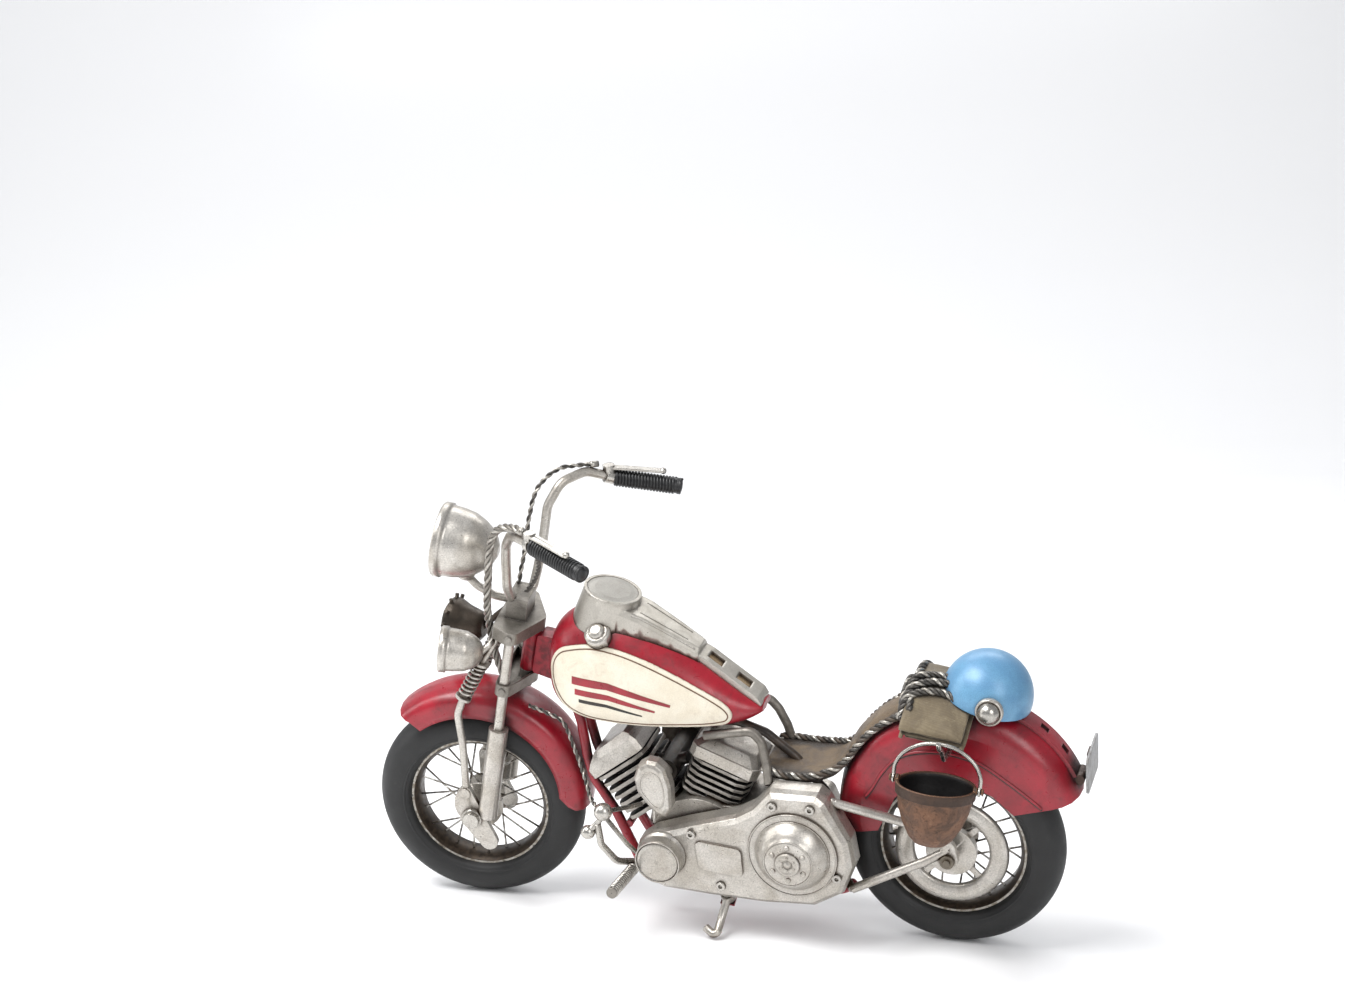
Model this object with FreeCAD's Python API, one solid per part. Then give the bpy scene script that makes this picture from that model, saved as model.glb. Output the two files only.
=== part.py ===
import FreeCAD, Part
from FreeCAD import Vector as V
import math
import os

os.makedirs("parts", exist_ok=True)

# ---------------------------------------------------------------- driving dimensions, mm
WHEEL_R = 45.0          # tyre outer radius
TYRE_T = 10.2           # tyre section radius
WHEELBASE = 206.0
RIM_R = 29.85           # rim seat radius
RIM_IN = 27.4
LEAN = 12.1             # degrees, leaning on the kickstand
STEER = 6.5             # degrees, bars turned left at rest
RAKE = 12.0
BAR_TWIST = -12.1       # bars sit turned in their clamp
STEM_X, STEM_Z = -178.5, 115.0
AXLE_R = 1.5
FIT = 0.05              # running clearance on the radius
FORK_U, FORK_V = 6.2, 17.2
SLIDER_R, LEG_R = 4.1, 2.1
BAR_R = 2.0
GRIP_R = 3.7
ORIGIN_X, ORIGIN_Y = -97.44, -19.53   # centre of the footprint of everything, set from the bounding box

# ---------------------------------------------------------------- helpers
SR, CR = math.sin(math.radians(RAKE)), math.cos(math.radians(RAKE))


def rot(shape, base, axis, deg):
    s = shape.copy()
    s.rotate(V(*base), V(*axis), deg)
    return s


def cyl(p, q, r):
    p, q = V(*p), V(*q)
    d = q - p
    return Part.makeCylinder(r, d.Length, p, d)


def cone(p, q, r1, r2):
    p, q = V(*p), V(*q)
    d = q - p
    return Part.makeCone(r1, r2, d.Length, p, d)


def ball(c, r):
    return Part.makeSphere(r, V(*c))


def fuse(first, *rest):
    s = first
    for r in rest:
        s = s.fuse(r)
    return s.removeSplitter()


def group(*solids):
    out = []
    for s in solids:
        out.extend(s.Solids)
    return Part.makeCompound(out)


def path(pts, bend):
    p = [V(*q) for q in pts]
    edges, prev = [], p[0]
    for i in range(1, len(p) - 1):
        d1 = (p[i] - p[i - 1])
        d2 = (p[i + 1] - p[i])
        l1, l2 = d1.Length, d2.Length
        d1.normalize()
        d2.normalize()
        turn = d1.getAngle(d2)
        if turn < 0.01:
            continue
        t = min(bend * math.tan(turn / 2), 0.46 * l1, 0.46 * l2)
        rad = t / math.tan(turn / 2)
        n = d2 - d1
        n.normalize()
        c = p[i] + n * (rad / math.cos(turn / 2))
        a, m, b = p[i] - d1 * t, c - n * rad, p[i] + d2 * t
        edges.append(Part.makeLine(prev, a))
        edges.append(Part.Arc(a, m, b).toShape())
        prev = b
    edges.append(Part.makeLine(prev, p[-1]))
    return Part.Wire(edges)


def tube(pts, r, bend=6.0):
    w = path(pts, bend)
    d = V(*pts[1]) - V(*pts[0])
    ring = Part.Wire([Part.makeCircle(r, V(*pts[0]), d)])
    return w.makePipeShell([ring], True, False)


def bar(p, q, width, thick, up=(0, 0, 1)):
    """flat bar from p to q, its width across and its thickness along up"""
    p, q = V(*p), V(*q)
    d = q - p
    n = d.Length
    d.normalize()
    u = V(*up)
    s = d.cross(u)
    s.normalize()
    u = s.cross(d)
    u.normalize()
    c = [p + s * (a * width / 2) + u * (b * thick / 2) for a, b in ((-1, -1), (1, -1), (1, 1), (-1, 1))]
    face = Part.Face(Part.makePolygon(c + [c[0]]))
    return face.extrude(d * n)


def coil(p, q, mean_r, wire_r, turns):
    p, q = V(*p), V(*q)
    d = q - p
    n = d.Length
    h = Part.makeHelix(n / turns, n, mean_r)
    ring = Part.Wire([Part.makeCircle(wire_r, V(mean_r, 0, 0), V(0, 1, n / turns / (2 * math.pi * mean_r)))])
    s = Part.Wire(h.Edges).makePipeShell([ring], True, True)
    d.normalize()
    s.Placement = FreeCAD.Placement(p, FreeCAD.Rotation(V(0, 0, 1), d))
    return s


def spin(profile, centre=(0, 0, 0), a0=0.0, a1=360.0):
    """profile of (radius, y) turned about a line along Y through centre; angles in XZ, 0 along +X, + toward +Z"""
    pts = [V(r, y, 0) for r, y in profile]
    f = Part.Face(Part.makePolygon(pts + [pts[0]]))
    s = f.revolve(V(0, 0, 0), V(0, 1, 0), -(a1 - a0))
    s.rotate(V(0, 0, 0), V(0, 1, 0), -a0)
    s.translate(V(*centre))
    return s


def spin_wire(edges, centre=(0, 0, 0)):
    s = Part.Face(Part.Wire(edges)).revolve(V(0, 0, 0), V(0, 1, 0), 360)
    s.translate(V(*centre))
    return s


def slab(xz, y0, y1, radius=0.0):
    """outline in XZ, its corners rounded, pushed from y0 to y1"""
    return Part.Face(outline(xz, radius, y0)).extrude(V(0, y1 - y0, 0))


def outline(xz, radius, y):
    n = len(xz)
    if radius <= 0:
        return Part.makePolygon([V(x, y, z) for x, z in xz] + [V(xz[0][0], y, xz[0][1])])
    edges, first, prev = [], None, None
    for i in range(n):
        a, b, c = (V(xz[(i + k) % n][0], y, xz[(i + k) % n][1]) for k in (-1, 0, 1))
        d1, d2 = b - a, c - b
        l1, l2 = d1.Length, d2.Length
        d1.normalize()
        d2.normalize()
        turn = d1.getAngle(d2)
        t = min(radius * math.tan(turn / 2), 0.45 * l1, 0.45 * l2)
        if turn < 0.02:
            continue
        rad = t / math.tan(turn / 2)
        m = d2 - d1
        m.normalize()
        ctr = b + m * (rad / math.cos(turn / 2))
        p, q, mid = b - d1 * t, b + d2 * t, ctr - m * rad
        if prev is not None:
            edges.append(Part.makeLine(prev, p))
        else:
            first = p
        edges.append(Part.Arc(p, mid, q).toShape())
        prev = q
    edges.append(Part.makeLine(prev, first))
    return Part.Wire(edges)


def inset(xz, d):
    """outline moved inward by d"""
    n = len(xz)
    area = sum(xz[i][0] * xz[(i + 1) % n][1] - xz[(i + 1) % n][0] * xz[i][1] for i in range(n))
    s = 1.0 if area > 0 else -1.0
    out = []
    for i in range(n):
        (x0, z0), (x1, z1), (x2, z2) = xz[i - 1], xz[i], xz[(i + 1) % n]
        a = (x1 - x0, z1 - z0)
        b = (x2 - x1, z2 - z1)
        la, lb = math.hypot(*a), math.hypot(*b)
        na = (-a[1] / la * s, a[0] / la * s)
        nb = (-b[1] / lb * s, b[0] / lb * s)
        k = 1.0 + na[0] * nb[0] + na[1] * nb[1]
        out.append((x1 + d * (na[0] + nb[0]) / k, z1 + d * (na[1] + nb[1]) / k))
    return out


def hull(circles):
    """outline of arcs and lines round circles given anticlockwise as (x, z, r); returned as points"""
    pts = []
    n = len(circles)
    for i in range(n):
        x, z, r = circles[i]
        x0, z0, r0 = circles[i - 1]
        x2, z2, r2 = circles[(i + 1) % n]

        def tangent(xa, za, ra, xb, zb, rb):
            d = math.hypot(xb - xa, zb - za)
            return math.atan2(zb - za, xb - xa) - math.pi / 2 + math.asin(max(-1, min(1, (ra - rb) / d))) * 1.0

        a0 = tangent(x0, z0, r0, x, z, r)
        a1 = tangent(x, z, r, x2, z2, r2)
        while a1 < a0 - 1e-9:
            a1 += 2 * math.pi
        k = max(2, int((a1 - a0) / 0.35) + 1)
        for j in range(k + 1):
            a = a0 + (a1 - a0) * j / k
            pts.append((x + r * math.cos(a), z + r * math.sin(a)))
    return pts


def uw(u, w, y=0.0):
    """fork frame: u forward from the steering axis, w up along it"""
    return (STEM_X - u * CR + w * SR, y, STEM_Z + u * SR + w * CR)


def fork_plate(uv, w0, w1):
    """outline in the plane across the steering axis, u forward and v to the right"""
    b = V(*uw(0, w0))
    eu, ev, ew = V(-CR, 0, SR), V(0, 1, 0), V(SR, 0, CR)
    p = [b + eu * u + ev * v for u, v in uv]
    return Part.Face(Part.makePolygon(p + [p[0]])).extrude(ew * (w1 - w0))


def twist(p):
    v = V(*p) - V(STEM_X, 0, STEM_Z)
    v = FreeCAD.Rotation(V(SR, 0, CR), BAR_TWIST).multVec(v)
    return (v.x + STEM_X, v.y, v.z + STEM_Z)


def mirror(shape):
    return shape.mirror(V(0, 0, 0), V(0, 1, 0))


def flip(p):
    return (p[0], -p[1], p[2])


def loft(wires, ruled=False):
    return Part.makeLoft(wires, True, ruled)


# front axle height: the tyre's lowest point sits on the floor once steered and leaned
def world(p):
    v = V(*p) - V(STEM_X, 0, STEM_Z)
    v = FreeCAD.Rotation(V(SR, 0, CR), STEER).multVec(v) + V(STEM_X, 0, STEM_Z)
    v = v - V(0, 0, TYRE_T)
    v = FreeCAD.Rotation(V(1, 0, 0), LEAN).multVec(v) + V(0, 0, TYRE_T)
    return v


def lowest(z):
    c = world((-WHEELBASE, 0, z))
    n = world((-WHEELBASE, 1, z)) - c
    return c.z - (WHEEL_R - TYRE_T) * math.sqrt(1 - n.z * n.z) - TYRE_T


lo, hi = 40.0, 50.0
for _ in range(50):
    mid = (lo + hi) / 2
    if lowest(mid) > 0:
        hi = mid
    else:
        lo = mid
FRONT_Z = (lo + hi) / 2
FA = (-WHEELBASE, 0.0, FRONT_Z)
RA = (0.0, 0.0, WHEEL_R)

frame, fork, fwheel, rwheel, stand, bail_b, bucket_b = {}, {}, {}, {}, {}, {}, {}


# ---------------------------------------------------------------- wheels
def at(shape, c):
    s = shape.copy()
    s.translate(V(*c))
    return s


def tyre():
    half = [(RIM_R + 0.05, 5.9), (31.2, 8.4), (34.2, 10.05), (37.6, 9.95), (41.2, 8.3), (43.9, 4.6), (WHEEL_R, 0.0)]
    pts = [V(r, y, 0) for r, y in half] + [V(r, -y, 0) for r, y in reversed(half[:-1])]
    c = Part.BSplineCurve()
    c.interpolate(pts)
    return spin_wire([c.toShape(), Part.makeLine(pts[-1], pts[0])])


def rim():
    return spin([(RIM_IN, -4.2), (28.6, -5.6), (28.9, -6.2), (30.6, -6.2), (30.6, -5.95), (RIM_R, -5.85), (RIM_R, 5.85),
                 (30.6, 5.95), (30.6, 6.2), (28.9, 6.2), (28.6, 5.6), (RIM_IN, 4.2)])


def spokes(n=24, cross=38.0):
    out = []
    for i in range(n):
        side = 1 if i % 2 else -1
        outer = (i // 2) % 2
        a = 360.0 / n * i
        b = a + (cross if outer else -cross)
        ra, rb = 7.2, RIM_IN - 0.02
        ya, yb = side * (5.83 if outer else 4.17), side * (1.7 if outer else 0.55)
        p = (ra * math.cos(math.radians(b)), ya, ra * math.sin(math.radians(b)))
        q = (rb * math.cos(math.radians(a)), yb, rb * math.sin(math.radians(a)))
        s = cyl(p, q, 0.42)
        s = s.common(Part.makeCylinder(RIM_IN - 0.02, 40, V(0, -20, 0), V(0, 1, 0)))
        out.append(s)
    return group(*out)


def hub(left, right):
    s = cyl((0, -left, 0), (0, right, 0), 3.0)
    s = fuse(s, cyl((0, -5.4, 0), (0, -4.6, 0), 8.2), cyl((0, 4.6, 0), (0, 5.4, 0), 8.2), cyl((0, -4.6, 0), (0, 4.6, 0), 3.6))
    return s


BORE = cyl((0, -40, 0), (0, 40, 0), AXLE_R + FIT)
wheel_rim = rim()
wheel_tyre = tyre().cut(wheel_rim)
wheel_spokes = group(*[s.cut(hub(6.0, 6.0)) for s in spokes().Solids])
front_hub = fuse(hub(9.2, 9.2), cyl((0, -8.6, 0), (0, -7.4, 0), 10.6), cyl((0, -7.4, 0), (0, -6.5, 0), 4.2)).cut(BORE)
rear_drum = fuse(hub(11.0, 9.2), cyl((0, -10.6, 0), (0, -7.4, 0), 10.4), cyl((0, -7.4, 0), (0, -6.5, 0), 4.2)).cut(BORE)
ring = spin([(15.3, -8.6), (16.2, -10.2), (18.6, -11.0), (20.4, -11.0), (22.6, -10.2), (23.4, -8.6), (22.9, -8.0), (15.8, -8.0)])
for k in range(4):
    ring = ring.fuse(rot(bar((9.9, -8.5, 0), (16.4, -8.5, 0), 2.4, 0.9, (0, 1, 0)), (0, 0, 0), (0, 1, 0), 45 + 90 * k))
ring = ring.cut(cyl((0, -20, 0), (0, 0, 0), 10.2)).removeSplitter()

fwheel["front_tyre"] = at(wheel_tyre, FA)
fwheel["front_rim"] = at(wheel_rim, FA)
fwheel["front_spokes"] = at(wheel_spokes, FA)
fwheel["front_hub"] = at(front_hub, FA)
rwheel["rear_tyre"] = at(wheel_tyre, RA)
rwheel["rear_rim"] = at(wheel_rim, RA)
rwheel["rear_spokes"] = at(wheel_spokes, RA)
rwheel["rear_hub"] = at(fuse(rear_drum, ring), RA)

# ---------------------------------------------------------------- fork
stem = cyl(uw(0, -15.5), uw(0, 12.2), 2.2)
lower = fork_plate(hull([(0, 0, 4.4), (FORK_U, -FORK_V, 3.5), (FORK_U, FORK_V, 3.5)]), -12.5, -7.5)
lower = lower.cut(fork_plate(hull([(0, 0, 3.4), (FORK_U, -FORK_V, 2.5), (FORK_U, FORK_V, 2.5)]), -11.6, -6.5))
upper = fork_plate(hull([(0, 0, 4.6), (FORK_U, -FORK_V, 3.6), (11.6, -15.2, 2.6), (11.6, 15.2, 2.6), (FORK_U, FORK_V, 3.6)]), 12.0, 17.5)
upper = upper.cut(fork_plate(hull([(0, 0, 3.6), (FORK_U, -FORK_V, 2.6), (11.6, -15.2, 1.6), (11.6, 15.2, 1.6), (FORK_U, FORK_V, 2.6)]), 11.0, 16.0))
clamp = fork_plate([(2.4, -8), (11.2, -8), (11.2, 8), (2.4, 8)], 17.4, 27.2)
bosses = [cyl(uw(0, -12.3), uw(0, -7.5), 3.6), cyl(uw(0, 12.0), uw(0, 17.4), 3.8)]
for s in (-1, 1):
    bosses.append(cyl(uw(FORK_U, -12.4, s * FORK_V), uw(FORK_U, -7.5, s * FORK_V), 2.9))
    bosses.append(cyl(uw(FORK_U, 12.0, s * FORK_V), uw(FORK_U, 17.4, s * FORK_V), 2.9))
    bosses.append(cyl(uw(11.6, 12.0, s * 15.2), uw(11.6, 17.4, s * 15.2), 1.9))
    p = uw(FORK_U, -10.0, s * (FORK_V + 3.3))
    bosses.append(cyl(p, (p[0], p[1] + s * 1.0, p[2]), 1.5))
    p = uw(FORK_U, 14.8, s * (FORK_V + 3.4))
    bosses.append(cyl(p, (p[0], p[1] + s * 1.0, p[2]), 1.5))
yokes = fuse(stem, lower, upper, clamp, *bosses)

# handlebar, its left side bent by hand a little further forward
RISE_R = [twist(p) for p in ((-180.4, 0, 139.4), (-178.2, 6, 141), (-177.0, 9.5, 149), (-174.7, 12, 161), (-173.0, 15, 175), (-168.7, 20.5, 184), (-162, 31, 185.6),
                             (-152.8, 39.3, 180.6))]
GRIP_OUT_R = twist((-127.6, 49.1, 175.4))
GRIP_IN_L = twist((-152.8, -39.3, 180.6))
GRIP_OUT_L = twist((-127.6, -49.1, 175.4))
RISE_L = [twist((-180.4, 0, 139.4)), (-182.2, -5.5, 141), (-183.0, -9.5, 149), (-181.2, -13.0, 163.0), (-179.3, -16.5, 171.6), (-174.9, -23.5, 179.2), (-168.9, -33, 182.0), GRIP_IN_L]
bars = fuse(tube(RISE_R[:] + [GRIP_OUT_R], BAR_R, 9.0), tube(RISE_L + [GRIP_OUT_L], BAR_R, 9.0))
yokes = yokes.cut(bars)


def along(p, q, t):
    return tuple(p[i] + (q[i] - p[i]) * t for i in range(3))


def grip(a, b):
    g = cyl(a, b, GRIP_R)
    cap = cyl(b, along(a, b, 1.035), GRIP_R - 0.7)
    return fuse(g, cap)


bars = bars.cut(cyl(GRIP_OUT_R, along(RISE_R[-1], GRIP_OUT_R, 1.2), 6)).cut(cyl(GRIP_OUT_L, along(GRIP_IN_L, GRIP_OUT_L, 1.2), 6))
grips = group(*[max(g.cut(bars).Solids, key=lambda q: q.Volume) for g in (grip(RISE_R[-1], GRIP_OUT_R), grip(GRIP_IN_L, GRIP_OUT_L))])


def lever(prev, a, b):
    base = along(a, prev, 0.34)
    near = along(a, prev, 0.06)
    body = cyl(near, base, 3.1)
    top = V(*near) * 0.5 + V(*base) * 0.5 + V(0, 0, 4.2)
    tip = V(*along(a, b, 0.86)) + V(-3.0, 0, 6.4)
    blade = bar((top.x, top.y, top.z), (tip.x, tip.y, tip.z), 3.4, 1.0)
    blade = fuse(blade, cyl((top.x, top.y, top.z - 2.6), (top.x, top.y, top.z + 1.0), 2.5), ball((tip.x, tip.y, tip.z), 1.4))
    return fuse(body, blade).cut(cyl(along(a, prev, -1.0), along(a, prev, 2.0), BAR_R + 0.02))


levers = group(*[max(g.cut(bars).cut(grips).Solids, key=lambda q: q.Volume) for g in (lever(RISE_R[-2], RISE_R[-1], GRIP_OUT_R), lever(RISE_L[-2], GRIP_IN_L, GRIP_OUT_L))])

legs, rods, springs, rockers = [], [], [], []
for s in (-1, 1):
    y = s * FORK_V
    pe, pb = uw(16.9, -63.5), uw(4.0, -84.5)
    rock = slab(hull([(pe[0], pe[2], 3.0), (FA[0] - 0.4, FA[2] - 0.2, 5.2), (pb[0], pb[2], 3.8)]), y - 1.2, y + 1.2)
    rock = rock.cut(cyl((FA[0], -60, FA[2]), (FA[0], 60, FA[2]), AXLE_R + 0.01))
    rod = tube([uw(16.9, -64.5, s * 17.0), uw(17.2, -60, s * 17.0), uw(20.4, -41.4, s * 17.0), uw(24.2, -27.0, s * 17.0), uw(22.5, -18, s * 16.4), uw(17.4, -2.6, s * 15.6), uw(11.6, 12.2, s * 15.2)], 1.6, 8.0)
    rock = fuse(rock, cyl(uw(16.9, -63.5, y - 1.9), uw(16.9, -63.5, y + 1.9), 2.4))
    perch = [cyl(uw(22.9, -19.3, s * 16.5), uw(22.55, -18.2, s * 16.4), 3.5), cyl(uw(17.1, -1.9, s * 15.6), uw(16.8, -0.8, s * 15.55), 3.5)]
    rod = fuse(rod, *perch).cut(rock).cut(yokes)
    leg = fuse(cyl(uw(FORK_U, -72.5, y), uw(FORK_U, -29.5, y), SLIDER_R), cyl(uw(FORK_U, -40, y), uw(FORK_U, 12.0, y), LEG_R),
               cyl(uw(FORK_U, -27.0, s * 12.55), uw(FORK_U, -27.0, s * 15.6), 1.2))
    leg = leg.cut(rock)
    spring = coil(uw(22.25, -17.45, s * 16.38), uw(17.5, -2.9, s * 15.64), 2.75, 0.5, 7)
    legs.append(leg)
    rods.append(rod)
    rockers.append(rock)
    springs.append(spring)
yokes = yokes.cut(group(*legs)).cut(group(*rods))
fork["fork_yokes"] = yokes
fork["fork_legs"] = group(*legs)
fork["springer_rods"] = group(*(rods + springs))
fork["rocker_plates"] = group(*rockers)
front_axle = fuse(cyl((FA[0], -22.2, FA[2]), (FA[0], 22.2, FA[2]), AXLE_R),
                  cyl((FA[0], -20.6, FA[2]), (FA[0], -18.42, FA[2]), 4.3), cyl((FA[0], -22.4, FA[2]), (FA[0], -20.6, FA[2]), 3.4),
                  cyl((FA[0], 18.42, FA[2]), (FA[0], 20.6, FA[2]), 4.3), cyl((FA[0], 20.6, FA[2]), (FA[0], 22.4, FA[2]), 3.4),
                  cyl((FA[0], -15.98, FA[2]), (FA[0], -9.3, FA[2]), 2.3), cyl((FA[0], 9.3, FA[2]), (FA[0], 15.98, FA[2]), 2.3))
front_axle = front_axle.cut(group(*legs))
fork["front_axle"] = front_axle

# front fender: pressed sheet over the wheel
FC = (-205.5, 0, 52.4)
fp = [(36.6, -12.4), (44.0, -12.2), (46.6, -10.2), (48.0, -6.0), (48.5, 0.0)]
fp_out = fp + [(r, -y) for r, y in reversed(fp[:-1])]
fi = [(36.6, -11.6), (43.7, -11.4), (45.9, -9.7), (47.2, -5.8), (47.7, 0.0)]
fp_in = fi + [(r, -y) for r, y in reversed(fi[:-1])]
fender = spin(fp_out + list(reversed(fp_in)), FC, -8.0, 131.0)
tipcut = slab([(-250, 60), (-222.0, 78.0), (-231.0, 86.0), (-237.6, 89.6), (-250, 100)], -20, 20)
fender = fender.cut(tipcut)
tailcut = slab([(-150, 40), (-165.5, 47.8), (-172, 56.0), (-176, 50), (-176, 30), (-150, 30)], -20, 20)
fender = fender.cut(tailcut)
fork["front_fender"] = fender

# headlight
hb, hf = uw(18.6, 43.0), uw(43.6, 43.0)


def turned(profile, p, q):
    """profile of (distance along, radius) turned about the line p to q"""
    d = V(*q) - V(*p)
    pts = [V(r, 0, t) for t, r in profile]
    s = Part.Face(Part.makePolygon(pts + [pts[0]])).revolve(V(0, 0, 0), V(0, 0, 1), 360)
    d.normalize()
    s.Placement = FreeCAD.Placement(V(*p), FreeCAD.Rotation(V(0, 0, 1), d))
    return s


head = turned([(0, 0), (0, 2.6), (1.4, 5.6), (4.0, 8.8), (7.5, 11.4), (12, 13.6), (17, 14.6), (22, 15.0), (22.1, 15.7), (25.0, 15.7), (25.6, 15.1), (25.6, 14.4),
               (22.0, 14.2), (17, 13.7), (12, 12.6), (7.9, 10.5), (4.7, 8.0), (2.3, 5.0), (1.0, 0)], hb, hf)
stalk = tube([uw(31, 29.4), uw(26, 25.4), uw(18, 22.4), uw(11.25, 22.4)], 1.7, 6)
socket = cone(uw(31, 28.0), uw(31, 31.6), 3.2, 4.4)
head_solid = turned([(0, 0), (0, 2.6), (1.4, 5.6), (4.0, 8.8), (7.5, 11.4), (12, 13.6), (17, 14.6), (22, 15.0), (25.6, 15.0), (25.6, 0)], hb, hf)
head = fuse(head, stalk.cut(head_solid), socket.cut(head_solid))
fork["headlight"] = head.cut(yokes)
lens = turned([(23.9, 0), (23.9, 14.2), (25.6, 14.2), (26.6, 9.5), (26.9, 0)], hb, hf)
fork["headlight_lens"] = lens.cut(fork["headlight"])

# fog lamp on the left, siren on the right
la, lb = (-192.8, -20.6, 124.4), (-211.4, -23.6, 127.6)
lamp = turned([(0, 0), (0, 2.2), (1.0, 4.4), (3.4, 6.6), (7.0, 8.3), (11.5, 8.8), (14.6, 9.0), (14.7, 9.6), (17.2, 9.6), (17.9, 9.0), (17.9, 0)], la, lb)
arm = tube([(-193.6, -20.8, 124.6), (-190.8, -18.6, 126.6), (-189.0, -15.6, 128.2)], 1.3, 3)
lamp = fuse(lamp, arm).cut(yokes).cut(group(*rods))
fork["fog_lamp"] = lamp
sa, sb = (-203.0, 19.2, 116.2), (-220.8, 22.6, 118.0)
siren = turned([(0, 0), (0, 4.2), (1.6, 6.2), (9.0, 8.2), (13.0, 10.0), (15.6, 10.3), (15.6, 9.2), (17.0, 8.2), (17.0, 0)], sa, sb)
sd = V(*sb) - V(*sa)
sd.normalize()
sx = sd.cross(V(0, 0, 1))
sx.normalize()
sz = sx.cross(sd)
for k in range(12):
    a = math.radians(15 + 30 * k)
    o = sx * math.cos(a) + sz * math.sin(a)
    c = V(*sa) + sd * 14.6
    p, q = c + o * 9.8, c + o * 12.0
    siren = siren.fuse(Part.makeCylinder(0.85, (q - p).Length, p, o))
arm = tube([(-203.8, 19.2, 116.2), (-197.5, 19.2, 122.0), (-191.5, 17.4, 127.2), (-189.2, 15.4, 128.2)], 1.3, 3)
siren = fuse(siren, arm).cut(yokes).cut(group(*rods))
fork["siren"] = siren
fork["handlebar"] = bars
fork["hand_grips"] = grips
fork["hand_levers"] = levers

bundle = tube([(-165.9, -37.2, 187.0), (-171.5, -32.5, 186.4), (-178.8, -27.5, 183.2), (-184.0, -22.5, 174.5), (-187.8, -19.0, 157.0), (-190.4, -15.6, 143.0), (-191.4, -11.6, 132.4),
               (-190.4, -10.8, 119.0), (-188.2, -10.3, 109.2)], 1.25, 7)
loop = tube([(-165.0, -36.0, 179.6), (-163.8, -30.0, 174.0), (-165.8, -20.0, 163.5), (-170.5, -12.0, 153.5), (-175.8, -6.6, 146.0)], 1.2, 9)
r0 = V(*RISE_R[-1])
right = tube([(-151.6, 32.6, 186.4), (-158.5, 28.6, 187.4), (-166.0, 23.6, 187.6), (-173.4, 17.0, 182.0), (-177.4, 13.5, 170.0), (-179.4, 10.6, 158.0), (-181.8, 6.4, 146.6)], 1.15, 7)
solid_near = [yokes, bars, levers, fork["headlight"], grips, fork["springer_rods"], fork["fog_lamp"]]
cables = []
for c in (bundle, loop, right):
    for s in solid_near:
        c = c.cut(s)
    big = max(c.Solids, key=lambda q: q.Volume)
    cables.append(big)
fork["control_cables"] = group(*cables)

# ---------------------------------------------------------------- frame
KP = V(-92.7, -19.0, 19.0)              # kickstand pivot
KD = V(-0.04, -0.868, -0.495)           # down along the leg
KA = V(0, -0.495, 0.868)                # pivot axis
KD.normalize()
KA.normalize()
neck = fuse(cyl(uw(0, -7.2), uw(0, 11.7), 3.7), slab([(-176.9, 107.9), (-172.8, 125.2), (-163.0, 123.6), (-158.5, 112), (-157.5, 99.6), (-166.5, 104.6)], -4.6, 4.6, 1.5),
            tube([(-160.5, 0, 104), (-154, 0, 95), (-147, 0, 90.6), (-90, 0, 90.6), (-78, 0, 86.5), (-66, 0, 76.5), (-54, 0, 62), (-52, 0, 57.5)], 1.9, 8))
neck = neck.cut(cyl(uw(0, -30), uw(0, 30), 2.2 + FIT))
down = []
for s in (-1, 1):
    down.append(tube([(-161.0, s * 3.0, 101.5), (-156.8, s * 4.4, 86.4), (-154.8, s * 6.0, 72), (-152.2, s * 7.0, 62.0), (-143.4, s * 8.0, 48), (-133.4, s * 10, 26.6), (-128, s * 10, 19.4), (-60, s * 10, 19.4), (-44, s * 13, 24.5), (-39.5, s * 17.5, 30)], 2.1, 8))
ties = [cyl((-137.6, -8.8, 42.4), (-137.6, 8.8, 42.4), 1.6), cyl((-126.5, -10, 19.4), (-126.5, 10, 19.4), 1.6), cyl((-60, -10, 19.4), (-60, 10, 19.4), 1.6),
        bar(KP - KA * 2.4 - KD * -3.0, KP - KA * 2.4 - KD * 7.6, 6.0, 1.1, KA)]
cradle = fuse(down[0], down[1], *ties)
neck = neck.cut(cradle)

fl = [(-100.5, -13, 89.6), (-89.4, -13, 91.8), (-80.1, -13, 93.4), (-76.1, -13.4, 88.9), (-74.1, -15, 79.4), (-72.2, -19.5, 73.0)]
fr = [(-100.5, 13, 90.0), (-90, 15, 92.6), (-81, 16, 94.6), (-76.8, 16, 89.5), (-73.5, 16, 82.5), (-70, 16, 70), (-68, 15, 60)]
seat_l, seat_r = tube(fl, 1.9, 5), tube(fr, 1.9, 5)


def section(x, hw, zb, zt, k=1.0):
    h = zt - zb
    half = [(0.0, 0.0), (0.62, 0.0), (0.9, 0.055), (1.0, 0.22), (0.99, 0.46), (0.88, 0.68), (0.62, 0.86), (0.3, 0.965), (0.0, 1.0)]
    pts = [V(x, hw * a * k, zb + h * b) for a, b in half] + [V(x, -hw * a * k, zb + h * b) for a, b in reversed(half[1:-1])]
    c = Part.BSplineCurve()
    c.interpolate(pts, PeriodicFlag=True)
    return Part.Wire([c.toShape()])


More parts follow.
